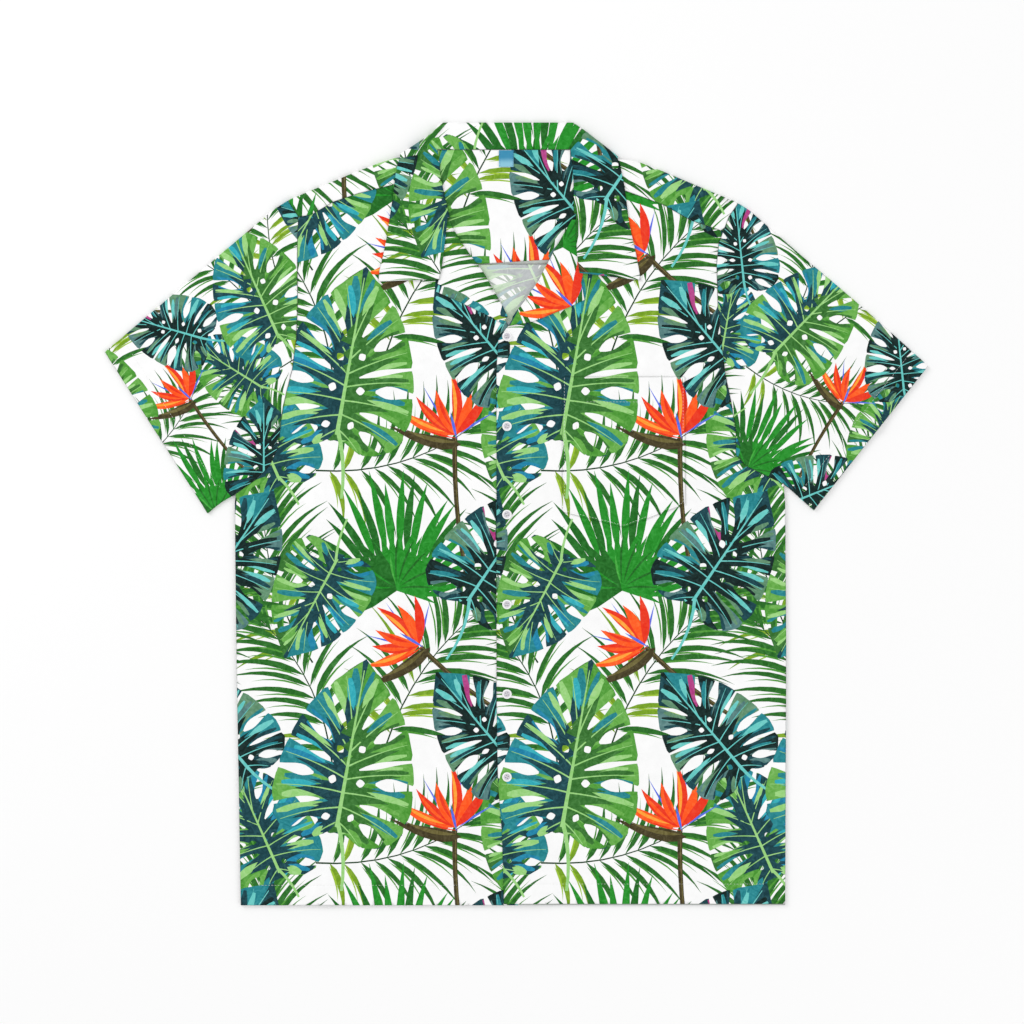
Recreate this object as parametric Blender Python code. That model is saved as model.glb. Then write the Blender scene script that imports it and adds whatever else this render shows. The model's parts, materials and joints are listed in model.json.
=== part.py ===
"""Short-sleeved camp-collar shirt, buttoned and laid flat on its back, front up.

Garment sizes are millimetres from the button line (x, + toward the wearer's left) and up from the
hem (y). Heights above the floor are z. Every cloth piece is a wall of even thickness, built from a
grid of points on the middle of the cloth: sections across a panel, or rings round a sleeve.
The finished shirt is moved so that its origin is at the middle of its box, on the floor.
"""

import math

import bmesh
import bpy
import numpy as np

MM = 0.001

# Cloth and layers
CLOTH = 1.0                 # thickness of the shirt cloth
COLLAR_CLOTH = 1.4          # two layers and interfacing
SEAM_GAP = 0.3              # between pieces that are sewn together or lie on each other
EASE = 0.4                  # extra air between the front and the back of the shirt
LAYER = CLOTH + SEAM_GAP
FALL_RISE = COLLAR_CLOTH + SEAM_GAP

# Body
BODY_HEIGHTS = (0, 4, 30, 75, 120, 165, 210, 255, 300, 345, 380, 402)
SIDE_RIGHT = ((0, -266.0), (120, -268.0), (240, -270.2), (402, -272.0))
SIDE_LEFT = ((0, 278.0), (120, 278.5), (240, 279.0), (402, 278.0))
LEFT_FRONT_HEM = 1.3
YOKE_SEAM = 641.0           # height of the seam between the back and the yoke

# Armhole seams, from the underarm to the shoulder: height, x
ARMHOLE_RIGHT = (
    (411.0, -271.0), (426.0, -250.0), (439.0, -237.0), (459.0, -228.0), (485.0, -225.5),
    (510.0, -221.0), (535.0, -214.5), (565.0, -210.5), (600.0, -209.0), (YOKE_SEAM, -209.3),
    (662.0, -209.3), (688.0, -208.2), (702.9, -218.0),
)
ARMHOLE_LEFT = (
    (421.0, 276.5), (430.0, 257.0), (439.0, 238.5), (450.0, 228.5), (474.0, 228.5),
    (502.0, 224.0), (531.0, 218.0), (561.0, 214.5), (600.0, 210.6), (YOKE_SEAM, 209.3),
    (662.0, 211.5), (688.0, 221.5), (700.0, 230.0),
)
ARMHOLE_BODY_ROWS = 8       # rows of the armholes below the heights of FRONT_TOP_HEIGHTS

# Outer edge of the shoulders: x, height
SHOULDER = (
    (-219.0, 704.5), (-204.0, 710.8), (-173.0, 723.7), (-149.0, 733.6), (-131.0, 740.3),
    (-112.0, 746.6), (-104.0, 747.6), (-90.0, 752.5), (-79.0, 757.0),
    (84.0, 757.0), (96.0, 751.0), (108.0, 746.0), (117.0, 745.0), (129.0, 743.6), (156.0, 733.3),
    (192.0, 718.1), (231.0, 702.0),
)
# Seam between the yoke and the fronts: x, height
YOKE_FRONT_SEAM = (
    (-208.0, 688.0), (-190.0, 696.0), (-158.0, 708.6), (-131.0, 715.7), (-111.0, 720.6), (-79.0, 728.0),
    (84.0, 725.5), (118.0, 714.0), (143.0, 705.0), (162.0, 697.5), (192.0, 684.5), (230.0, 673.5),
)
NECK_SEAM = 755.0
YOKE_FRONT_ROWS = (0.0, 0.453, 1.0)     # the middle one meets the armhole where it bends
YOKE_ROWS = (0.0, 0.3, 0.52, 0.66, 0.76, 0.86, 0.94, 1.0)
INNER_YOKE_ENDS = (-32.0, 42.0)     # the inner yoke's lower edge slants a little: x
INNER_YOKE_LOW = (640.5, 645.3)     # and its height there
INNER_YOKE_INSET = 3.2

# Front edges: height, x
RIGHT_FRONT_EDGE = (
    (0, 11.0), (555, 11.0), (568, 9.0), (578, 2.0), (586, -2.5), (598, -8.5), (614, -17.5),
    (628, -25.5), (637.5, -32.0), (643, -37.0), (654, -45.0), (661, -49.5), (671.5, -56.5),
    (686, -64.5), (700, -70.5), (714, -75.5), (727.5, -79.0),
)
LEFT_FRONT_EDGE = (
    (0, -3.0), (60, -4.6), (88, -6.0), (122, -9.0), (229, -10.5), (545, -10.5), (560, -9.8),
    (568, -7.5), (576, -1.5), (583, 7.0), (601, 20.5), (623, 35.5), (643, 46.0), (654, 52.0),
    (666, 59.5), (690.5, 74.0), (705, 80.0), (725, 84.0),
)
FRONT_TOP_STEPS = 4
FRONT_TOP_HEIGHTS = (577.0, 587.0, 600.0, 620.0, YOKE_SEAM, 662.0)

# Facings turned out: rows of roll x, roll height, outer x, outer height
FACING_RIGHT = (
    (1.0, 588.0, -3.5, 580.5), (-5.0, 600.0, -21.0, 590.0), (-14.0, 616.0, -40.4, 599.4),
    (-22.0, 630.0, -57.0, 607.0), (-28.5, 639.6, -71.0, 613.0), (-33.5, 645.5, -67.5, 628.5),
    (-39.5, 654.0, -71.0, 642.0), (-45.5, 662.5, -71.5, 656.0), (-52.0, 673.0, -71.0, 671.0),
    (-57.5, 684.0, -70.0, 684.0),
)
FACING_LEFT = (
    (4.5, 586.5, 1.5, 578.7), (10.0, 594.5, 26.5, 583.2), (17.0, 603.0, 47.5, 591.8),
    (24.0, 613.5, 62.0, 597.5), (32.0, 625.0, 77.5, 605.0), (37.5, 636.0, 74.0, 622.0),
    (42.5, 645.0, 77.0, 635.0), (48.0, 656.0, 78.0, 650.0), (55.0, 668.0, 78.5, 665.0),
    (60.5, 677.5, 78.5, 676.0), (65.0, 685.5, 78.0, 685.5),
)
FACING_LIP = 1.6            # what the facing turns in under the roll, to meet the front

# Sleeves: share of the way to the cuff, upper edge x and height, lower edge x and height
SLEEVE_RIGHT = (
    (0.00, -218.5, 704.5, -272.0, 410.5),
    (0.07, -232.0, 696.0, -275.5, 408.5),
    (0.15, -247.0, 683.6, -279.0, 406.5),
    (0.33, -280.0, 656.0, -284.0, 403.5),
    (0.55, -320.0, 622.0, -289.0, 400.0),
    (0.78, -361.5, 587.3, -294.5, 395.5),
    (1.00, -402.0, 553.0, -299.0, 391.5),
)
SLEEVE_LEFT = (
    (0.00, 231.5, 702.0, 278.0, 420.0),
    (0.07, 242.0, 694.7, 281.5, 417.0),
    (0.15, 256.0, 682.5, 285.0, 414.0),
    (0.33, 290.0, 652.8, 290.5, 409.0),
    (0.55, 331.5, 618.0, 296.0, 404.0),
    (0.78, 377.0, 578.5, 301.5, 399.3),
    (1.00, 421.0, 539.0, 306.5, 394.5),
)
SLEEVE_RINGS = (0.0, 0.07, 0.15, 0.25, 0.37, 0.5, 0.64, 0.78, 0.9, 1.0)
PIT_TURN = 0.4              # how far the fold at the underarm turns toward the sleeve's lower edge
ARMHOLE_FADE = 6            # how fast the armhole's curve fades out of the rings

# Collar: rows down each leaf, from the fold at the shoulder to the point
# outer x, outer height, roll x, roll height, width of the stand that shows beside the roll
LEAF_RIGHT = (
    (-106.5, 750.5, -74.0, 772.0, 8.0),
    (-108.0, 743.5, -74.0, 764.0, 7.0),
    (-109.5, 739.0, -73.6, 755.0, 4.0),
    (-111.2, 730.5, -71.0, 744.0, 3.0),
    (-112.6, 718.5, -69.0, 727.0, 3.0),
    (-114.6, 703.0, -65.5, 708.0, 3.0),
    (-117.4, 685.0, -59.3, 687.0, 2.0),
    (-120.2, 667.0, -61.2, 668.0, 0.0),
    (-123.5, 650.0, -63.2, 650.0, 0.0),
    (-127.4, 634.0, -65.6, 634.0, 0.0),
    (-128.4, 623.0, -67.6, 625.7, 0.0),
)
LEAF_LEFT = (
    (110.5, 748.5, 79.0, 773.0, 13.0),
    (112.3, 741.5, 77.0, 764.0, 12.5),
    (113.5, 737.0, 75.4, 755.0, 12.0),
    (114.9, 729.5, 75.8, 744.0, 11.0),
    (117.3, 718.5, 75.4, 727.0, 9.0),
    (119.3, 703.0, 72.8, 708.0, 6.0),
    (121.8, 684.0, 68.8, 691.0, 2.0),
    (125.0, 668.0, 69.1, 668.0, 0.0),
    (128.4, 653.0, 69.8, 651.0, 0.0),
    (131.3, 638.0, 71.4, 638.0, 0.0),
    (133.6, 624.3, 72.5, 631.5, 0.0),
)
STAND_TOP = 782.2
STAND_TOP_RIGHT = -66.0
STAND_TOP_LEFT = 66.0
STAND_ROWS = 2              # rows of a leaf that the stand shares, down to the neck seam
FALL_LOW = ((-106.5, 746.5), (-74.0, 743.0), (2.0, 741.0), (79.0, 743.0), (110.5, 744.5))

# Pocket, label and buttons
POCKET_SIDES = (55.4, 177.9)
POCKET_TOP = 528.0
POCKET_LOW = ((55.4, 393.0), (117.0, 377.5), (177.9, 401.0))
LABEL_SIDES = (-8.0, 6.5)
LABEL_HEIGHTS = (737.5, 754.2)
BUTTON_HEIGHTS = (568.4, 478.6, 390.5, 300.7, 211.2, 128.4)
BUTTON_RADIUS = 4.8
# Share of the radius and height, from the foot over the rim to the sunk middle
BUTTON_PROFILE = (
    (0.55, 0.0), (0.92, 0.35), (1.0, 1.0), (0.95, 1.75), (0.8, 2.1), (0.66, 1.85), (0.55, 1.35),
)
BUTTON_SIDES = 18

# Broad soft folds of the front: middle x, middle height, direction in degrees, length, width, rise
FOLDS = (
    (-150.0, 250.0, 84.0, 330.0, 60.0, 0.9),
    (-70.0, 170.0, 96.0, 260.0, 48.0, 0.7),
    (120.0, 210.0, 98.0, 300.0, 55.0, 0.8),
    (215.0, 300.0, 86.0, 320.0, 50.0, 0.9),
    (-205.0, 430.0, 128.0, 170.0, 42.0, 1.0),
    (205.0, 440.0, 52.0, 160.0, 42.0, 0.9),
    (-120.0, 560.0, 108.0, 200.0, 50.0, 0.8),
    (150.0, 600.0, 70.0, 180.0, 46.0, 0.7),
    (-300.0, 560.0, 118.0, 150.0, 44.0, 0.9),
    (320.0, 540.0, 60.0, 150.0, 44.0, 0.9),
)

# Where a layer rises over another one: where the slope starts and ends
BODY_MIDDLE = 2.0
FALL_SLOPE = (700.0, 738.0)             # height
FALL_SIDES = (116.0, 160.0)             # from the body's middle
INNER_YOKE_MIDDLE = 5.0
INNER_YOKE_SLOPE = (592.0, 635.0)       # height
INNER_YOKE_SIDES = (222.0, 270.0)       # from the inner yoke's middle
LAP_SLOPE = (15.0, 55.0)                # x
LAP_TOP = (590.0, 650.0)                # height
FACING_SIDES = (80.0, 112.0)            # from the body's middle
FACING_TOP = (692.0, 735.0)             # height
# Where the broad folds fade out
FOLDS_MIDDLE = (20.0, 70.0)             # from the body's middle
FOLDS_TOP = (610.0, 690.0)
FOLDS_HEM = (10.0, 90.0)
STAND_CLEARANCE = 0.3                   # more air under the stand and its strips
WIDE_STRIP = 4.0                        # a strip wider than this hangs in a curve

# How finely the pieces are divided
ARC_STEPS = 4               # straight runs in a half-round fold
BODY_SHARES = np.linspace(0.0, 1.0, 9)
NECK_SECTIONS = np.linspace(-72.0, 77.0, 9)
FACING_SHARES = np.linspace(0.0, 1.0, 5)
LEAF_SHARES = np.linspace(0.0, 1.0, 6)
STAND_SHARES = np.linspace(0.0, 1.0, 11)[1:-1]
POCKET_COLUMNS = 9
POCKET_SHARES = np.linspace(0.0, 1.0, 8)
LABEL_STEPS = 3
SHARP_EDGE = 40             # degrees


def column(table, index):
    return np.array([row[index] for row in table], dtype=float)


def knot_slopes(knots, values):
    """Slopes at the knots of a curve that never swings past its knots."""
    rise = np.diff(values) / np.diff(knots)
    before, after = rise[:-1], rise[1:]
    same_way = before * after > 0
    total = np.where(same_way, before + after, 1.0)
    inner = np.where(same_way, 2 * before * after / total, 0.0)
    return np.concatenate([rise[:1], inner, rise[-1:]])


def smooth_through(table, index, at):
    """Read one column of a table, by its first column, through a smooth curve."""
    knots = column(table, 0)
    values = column(table, index)
    slopes = knot_slopes(knots, values)
    at = np.clip(at, knots[0], knots[-1])
    span = np.clip(np.searchsorted(knots, at, side="right") - 1, 0, len(knots) - 2)
    width = knots[span + 1] - knots[span]
    t = (at - knots[span]) / width
    start = (2 * t ** 3 - 3 * t ** 2 + 1) * values[span] + (t ** 3 - 2 * t ** 2 + t) * width * slopes[span]
    end = (3 * t ** 2 - 2 * t ** 3) * values[span + 1] + (t ** 3 - t ** 2) * width * slopes[span + 1]
    return start + end


def straight_through(table, at):
    return np.interp(at, column(table, 0), column(table, 1))


def ramp(value, low, high):
    """0 below low, 1 above high, with a soft curve between."""
    t = np.clip((value - low) / (high - low), 0.0, 1.0)
    return t * t * (3 - 2 * t)


def side_x(height, left):
    """Outer edge of the body at a height: the side seam, then the armhole."""
    side, armhole = (SIDE_LEFT, ARMHOLE_LEFT) if left else (SIDE_RIGHT, ARMHOLE_RIGHT)
    seam = smooth_through(side, 1, height)
    above = straight_through((side[-1],) + armhole, height)
    return np.where(height <= side[-1][0], seam, above)


def across_body(height, share):
    """x of a point that lies a share of the way from the right to the left edge of the body."""
    return (1 - share) * side_x(height, False) + share * side_x(height, True)


# Heights of the layers, to the middle of the cloth

def fold_rise(x, y):
    rise = np.zeros_like(x + y)
    for middle_x, middle_y, direction, length, width, height in FOLDS:
        angle = math.radians(direction)
        along = (x - middle_x) * math.cos(angle) + (y - middle_y) * math.sin(angle)
        across = (y - middle_y) * math.cos(angle) - (x - middle_x) * math.sin(angle)
        shape = np.exp(-(across / (0.5 * width)) ** 2 - (along / (0.45 * length)) ** 4)
        rise = rise + height * shape
    return rise


def over_fall(x, y):
    """How far a layer is lifted by the collar's fall, which lies lowest."""
    sideways = 1 - ramp(np.abs(x - BODY_MIDDLE), *FALL_SIDES)
    return FALL_RISE * ramp(y, *FALL_SLOPE) * sideways


def over_inner_yoke(x, y):
    sideways = 1 - ramp(np.abs(x - INNER_YOKE_MIDDLE), *INNER_YOKE_SIDES)
    return LAYER * ramp(y, *INNER_YOKE_SLOPE) * sideways


def lap(x, y):
    """Rise of the left front over the edge of the right one."""
    return LAYER * (1 - ramp(x, *LAP_SLOPE)) * (1 - ramp(y, *LAP_TOP))


def back_height(x, y):
    return 0.5 * CLOTH + over_fall(x, y)


def inner_yoke_height(x, y):
    return back_height(x, y) + LAYER


def front_height(x, y):
    level = 0.5 * CLOTH + LAYER + EASE
    free = ramp(np.abs(x - BODY_MIDDLE), *FOLDS_MIDDLE) * (1 - ramp(y, *FOLDS_TOP)) * ramp(y, *FOLDS_HEM)
    return level + over_fall(x, y) + over_inner_yoke(x, y) + free * fold_rise(x, y)


def left_front_height(x, y):
    return front_height(x, y) + lap(x, y)


def leaf_height(x, y):
    over_facing = LAYER * (1 - ramp(np.abs(x - BODY_MIDDLE), *FACING_SIDES)) * (1 - ramp(y, *FACING_TOP))
    return front_height(x, y) + over_facing + 0.5 * (CLOTH + COLLAR_CLOTH) + SEAM_GAP


def stand_height(x, y):
    return np.full_like(x + y, 0.5 * COLLAR_CLOTH + FALL_RISE + EASE + STAND_CLEARANCE)


# Building

def fold_arc(start, end, outward):
    """Points of a half-round fold between two points that lie above each other."""
    middle = 0.5 * (start + end)
    radius = 0.5 * abs(start[2] - end[2])
    steps = np.arange(1, ARC_STEPS) * math.pi / ARC_STEPS
    upright = start - middle
    return [middle + upright * math.cos(a) + outward * radius * math.sin(a) for a in steps]


def wall(name, grid, thickness, ring=False):
    """Closed solid of even thickness round a grid of middle points; NaN leaves a cell out."""
    rows, columns = grid.shape[:2]
    there = ~np.isnan(grid[:, :, 0])
    last = columns if ring else columns - 1
    cells = []
    normals = np.zeros_like(grid)
    for i in range(rows - 1):
        for j in range(last):
            corners = ((i, j), (i, (j + 1) % columns), (i + 1, (j + 1) % columns), (i + 1, j))
            if not all(there[c] for c in corners):
                continue
            cells.append(corners)
            first, second, third, fourth = (grid[c] for c in corners)
            face = np.cross(third - first, fourth - second)
            for corner in corners:
                normals[corner] += face
    used = sorted({corner for corners in cells for corner in corners})
    mesh = bmesh.new()
    over = {}
    under = {}
    for corner in used:
        normal = normals[corner] / np.linalg.norm(normals[corner])
        over[corner] = mesh.verts.new((grid[corner] + 0.5 * thickness * normal) * MM)
        under[corner] = mesh.verts.new((grid[corner] - 0.5 * thickness * normal) * MM)
    edges = {}
    for corners in cells:
        mesh.faces.new([over[c] for c in corners])
        mesh.faces.new([under[c] for c in reversed(corners)])
        for k in range(4):
            edge = (corners[k], corners[(k + 1) % 4])
            edges[edge] = edges.get(edge, 0) + 1
    for start, end in edges:
        if (end, start) not in edges:
            mesh.faces.new((over[end], over[start], under[start], under[end]))
    return solid(name, mesh)


def solid(name, mesh):
    """Turn a bmesh into a named object with flat triangles facing out."""
    bmesh.ops.recalc_face_normals(mesh, faces=mesh.faces)
    bmesh.ops.triangulate(mesh, faces=mesh.faces, quad_method="SHORT_EDGE")
    data = bpy.data.meshes.new(name)
    mesh.to_mesh(data)
    mesh.free()
    data.shade_smooth()
    data.set_sharp_from_angle(angle=math.radians(SHARP_EDGE))
    item = bpy.data.objects.new(name, data)
    bpy.context.scene.collection.objects.link(item)
    return item


def raised(plan_x, plan_y, height):
    """Grid of points from plan positions and a height field."""
    return np.stack([plan_x, plan_y, height(plan_x, plan_y)], axis=-1)


def between(start, end, shares):
    return start[..., None] + (end - start)[..., None] * shares


# Pieces

def body_heights(left):
    armhole = ARMHOLE_LEFT if left else ARMHOLE_RIGHT
    return list(BODY_HEIGHTS) + [row[0] for row in armhole[:ARMHOLE_BODY_ROWS]]


def make_back():
    right = np.array(body_heights(False) + [ARMHOLE_RIGHT[8][0], YOKE_SEAM - SEAM_GAP])
    left = np.array(body_heights(True) + [ARMHOLE_LEFT[8][0], YOKE_SEAM - SEAM_GAP])
    x = between(side_x(right, False), side_x(left, True), BODY_SHARES)
    y = between(right, left, BODY_SHARES)
    return wall("back", raised(x, y, back_height), CLOTH)


def yoke_tops():
    """Where each section of the yoke ends at the top: x, height, and whether it folds over there."""
    right = [ARMHOLE_RIGHT[-1][1]] + [row[0] for row in SHOULDER[1:] if row[0] < 0]
    left = [row[0] for row in SHOULDER[:-1] if row[0] > 0] + [ARMHOLE_LEFT[-1][1]]
    tops = []
    for x in right + list(NECK_SECTIONS) + left:
        if right[-1] < x < left[0]:
            tops.append((x, NECK_SEAM - SEAM_GAP, False))
            continue
        y = float(straight_through(SHOULDER, x))
        reach = 0.5 * float(front_height(x, y) - back_height(x, y)) + 0.5 * CLOTH
        tops.append((x, y - reach, True))
    return tops


def yoke_back_points():
    """Sections of the yoke's lower sheet, from the back seam up to the shoulders and the neck."""
    tops = yoke_tops()
    sections = []
    for number, (top_x, top_y, folded) in enumerate(tops):
        at_armhole = number in (0, len(tops) - 1)
        span = top_y - YOKE_SEAM
        knots = [(ARMHOLE_LEFT[k][0] - YOKE_SEAM) / span for k in (-3, -2)]
        rows = (0.0, knots[0], 0.5, 0.65, knots[1], 0.9, 0.95, 1.0) if at_armhole else YOKE_ROWS
        right_end = side_x(np.array(top_y), False)
        share = (top_x - right_end) / (side_x(np.array(top_y), True) - right_end)
        section = []
        for row in rows:
            y = YOKE_SEAM + span * row
            x = float(across_body(np.array(y), share))
            section.append((x, y, float(back_height(x, y))))
        sections.append((section, share, folded))
    return sections


def yoke_front_points(lower, share):
    """Section of the yoke's upper sheet, from the shoulder fold to the seam with the front."""
    seam_y = float(smooth_through(YOKE_FRONT_SEAM, 1, np.array(lower[0])))
    points = []
    for row in YOKE_FRONT_ROWS:
        y = lower[1] + (seam_y - lower[1]) * row
        x = float(across_body(np.array(y), share))
        points.append((x, y, float(front_height(x, y))))
    return points


def make_yoke():
    sections = []
    for section, share, folded in yoke_back_points():
        points = [np.array(point) for point in section]
        if folded:
            front = [np.array(point) for point in yoke_front_points(section[-1], share)]
            points += fold_arc(points[-1], front[0], np.array((0.0, 1.0, 0.0))) + front
        else:
            points += [np.full(3, np.nan)] * (ARC_STEPS + 2)
        sections.append(points)
    return wall("yoke", np.array(sections), CLOTH)


def make_inner_yoke():
    """Made from the points of the yoke's lower sheet, moved up; it ends just inside the folds."""
    sections = []
    for section, _, folded in yoke_back_points()[1:-1]:
        points = np.array(section)
        points[:, 2] += LAYER
        points[0, 1] = np.interp(points[0, 0], INNER_YOKE_ENDS, INNER_YOKE_LOW)
        if folded:
            points[-1, 1] -= INNER_YOKE_INSET
        sections.append(points)
    return wall("inner_yoke", np.array(sections), CLOTH)


def front_sections(left, edge_table, hem):
    """Plan positions of a front: sections from its outer edge to its front edge, hem to top.
    The top one follows the end of the yoke."""
    seam = [yoke_front_points(s[-1], share)[-1] for s, share, folded in yoke_back_points() if folded]
    seam = [point for point in seam if (point[0] > 0) == left]
    seam = np.array(seam if not left else seam[::-1])
    outer = np.array(body_heights(left) + list(FRONT_TOP_HEIGHTS))
    inner = np.array(body_heights(False) + list(FRONT_TOP_HEIGHTS))
    outer[0] = inner[0] = hem
    steps = np.arange(1, FRONT_TOP_STEPS + 1) / FRONT_TOP_STEPS
    top = FRONT_TOP_HEIGHTS[-1]
    top_row = len(outer)
    outer = np.concatenate([outer, top + (seam[0, 1] - SEAM_GAP - top) * steps])
    inner = np.concatenate([inner, top + (edge_table[-1][0] - SEAM_GAP - top) * steps])
    shares = (seam[:, 0] - seam[0, 0]) / (seam[-1, 0] - seam[0, 0])
    x = between(side_x(outer, left), smooth_through(edge_table, 1, inner), shares)
    y = between(outer, inner, shares)
    for k, step in enumerate(steps):
        y[top_row + k] = top + (seam[:, 1] - SEAM_GAP - top) * step
    return x, y


def make_front_right():
    x, y = front_sections(False, RIGHT_FRONT_EDGE, 0.0)
    return wall("front_right", raised(x, y, front_height), CLOTH)


def make_front_left():
    x, y = front_sections(True, LEFT_FRONT_EDGE, LEFT_FRONT_HEM)
    return wall("front_left", raised(x, y, left_front_height), CLOTH)


def edge_normals(points):
    """Unit normals of a plan polyline, on the left of its direction."""
    run = np.gradient(points, axis=0)
    normals = np.stack([-run[:, 1], run[:, 0]], axis=-1)
    return normals / np.linalg.norm(normals, axis=1)[:, None]


def make_facing(name, table, front, side):
    """Facing turned out over the front: its roll fold meets the edge of the front underneath."""
    rolls = np.array([row[:2] for row in table])
    inward = -side * edge_normals(rolls)
    radius = 0.5 * LAYER
    sections = []
    for roll, inner, row in zip(rolls, inward, table):
        start = roll + inner * (radius + 0.5 * CLOTH)
        end = np.array(row[2:])
        lip = start + inner * FACING_LIP
        level = float(front(*start))
        section = [np.array((*lip, float(front(*lip)))), np.array((*start, level))]
        top = np.array((*start, level + LAYER))
        section += fold_arc(section[-1], top, np.array((*-inner, 0.0)))
        for share in FACING_SHARES:
            x, y = start + (end - start) * share
            section.append(np.array((x, y, float(front(x, y)) + LAYER)))
        sections.append(section)
    return wall(name, np.array(sections, dtype=float), CLOTH)


def make_sleeve(name, table, armhole_table, side):
    """Flattened tube: rings from the armhole to the cuff, the top sheet, then the lower one."""
    armhole = np.array([(x, height) for height, x in armhole_table[::-1]])
    armhole += side * edge_normals(armhole) * SEAM_GAP
    shares = (armhole[0, 1] - armhole[:, 1]) / (armhole[0, 1] - armhole[-1, 1])
    bow = armhole - (armhole[0] + (armhole[-1] - armhole[0]) * shares[:, None])
    along = np.array(SLEEVE_RINGS)
    upper = np.stack([smooth_through(table, k, along) for k in (1, 2)], axis=-1)
    lower = np.stack([smooth_through(table, k, along) for k in (3, 4)], axis=-1)
    upper_out = side * edge_normals(upper)
    lower_out = -side * edge_normals(lower)
    upper_out[0] = (0.0, 1.0)
    seam_end = (armhole[-1] - armhole[-2]) / np.linalg.norm(armhole[-1] - armhole[-2])
    seam_end = seam_end + PIT_TURN * lower_out[1]
    lower_out[0] = seam_end / np.linalg.norm(seam_end)
    rings = []
    for number, ring in enumerate(along):
        plan = upper[number] + (lower[number] - upper[number]) * shares[:, None]
        plan += bow * (1 - ring) ** ARMHOLE_FADE
        ends = ((0, upper, upper_out), (len(plan) - 1, lower, lower_out))
        for place, edge, outward in ends:
            level = float(front_height(*plan[place]))
            reach = 0.5 * (level - 0.5 * CLOTH) + 0.5 * CLOTH
            plan[place] = edge[number] - outward[number] * reach
        if number == 0:
            plan = armhole
        over = [np.array((x, y, float(front_height(x, y)))) for x, y in plan]
        under = [np.array((x, y, 0.5 * CLOTH)) for x, y in plan]
        low_arc = fold_arc(over[-1], under[-1], np.array((*lower_out[number], 0.0)))
        top_arc = fold_arc(under[0], over[0], np.array((*upper_out[number], 0.0)))
        rings.append(over + low_arc + under[::-1] + top_arc)
    return wall(name, np.array(rings, dtype=float), CLOTH, ring=True)


def collar_columns():
    """Columns across the collar: right leaf, stand, left leaf, as (kind, share)."""
    right = [("right", share) for share in LEAF_SHARES] + [("right strip", 0.5), ("right strip", 1.0)]
    stand = [("stand", share) for share in STAND_SHARES]
    left = [("left strip", 1.0), ("left strip", 0.5)] + [("left", share) for share in LEAF_SHARES[::-1]]
    return right + stand + left


def make_collar():
    rows = len(LEAF_RIGHT)
    leaves = {"right": np.array(LEAF_RIGHT), "left": np.array(LEAF_LEFT)}
    inward = {"right": 1.0, "left": -1.0}
    tops = {"right": STAND_TOP_RIGHT, "left": STAND_TOP_LEFT}
    sections = []
    for kind, share in collar_columns():
        name = kind.split()[0]
        points = []
        for row in range(rows):
            if name in leaves:
                outer_x, outer_y, roll_x, roll_y, strip = leaves[name][row]
            if kind in leaves:
                x = outer_x + (roll_x - outer_x) * share
                y = outer_y + (roll_y - outer_y) * share
                z = float(leaf_height(x, y))
            elif kind == "stand":
                x = tops["right"] + (tops["left"] - tops["right"]) * share
                y = STAND_TOP + (NECK_SEAM - STAND_TOP) * row / STAND_ROWS
                z = float(stand_height(x, y)) if row <= STAND_ROWS else math.nan
            else:
                shown = strip > 0
                x = roll_x + inward[name] * strip * share if shown else math.nan
                drop = share * share if strip > WIDE_STRIP else share
                if row == 0:
                    y = roll_y + (STAND_TOP - roll_y) * share
                    low = float(stand_height(x, y))
                elif row < STAND_ROWS:
                    y = roll_y + (STAND_TOP + (NECK_SEAM - STAND_TOP) * row / STAND_ROWS - roll_y) * share
                    low = float(stand_height(x, y))
                else:
                    y = roll_y
                    low = float(inner_yoke_height(x, y)) + 0.5 * (CLOTH + COLLAR_CLOTH)
                    low += SEAM_GAP + STAND_CLEARANCE
                high = float(leaf_height(roll_x, roll_y))
                z = high + (low - high) * drop
            points.append(np.array((x, y, z)))
        top = points[0]
        lower = np.array((top[0], top[1], 0.5 * COLLAR_CLOTH))
        reach = 0.5 * (top[2] - lower[2]) + 0.5 * COLLAR_CLOTH
        direction = np.array((0.0, 1.0, 0.0))
        points[0] = top - direction * reach
        lower = lower - direction * reach
        fall_y = float(straight_through(FALL_LOW, top[0]))
        middle_y = 0.5 * (lower[1] + fall_y)
        fall = [np.array((top[0], fall_y, lower[2])), np.array((top[0], middle_y, lower[2])), lower]
        sections.append(fall + fold_arc(lower, points[0], direction) + points)
    grid = np.array(sections, dtype=float)
    grid[np.isnan(grid).any(axis=2)] = np.nan
    return wall("collar", grid, COLLAR_CLOTH)


def make_pocket():
    x = np.linspace(*POCKET_SIDES, POCKET_COLUMNS)
    low = straight_through(POCKET_LOW, x)
    y = between(low, np.full_like(x, POCKET_TOP), POCKET_SHARES)
    plan_x = np.repeat(x[:, None], len(POCKET_SHARES), axis=1)
    return wall("pocket", raised(plan_x, y, lambda a, b: left_front_height(a, b) + LAYER), CLOTH)


def make_label():
    x = np.linspace(*LABEL_SIDES, LABEL_STEPS)
    y = np.linspace(*LABEL_HEIGHTS, LABEL_STEPS)
    plan_x, plan_y = np.meshgrid(x, y, indexing="ij")
    return wall("neck_label", raised(plan_x, plan_y, lambda a, b: inner_yoke_height(a, b) + LAYER), CLOTH)


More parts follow.
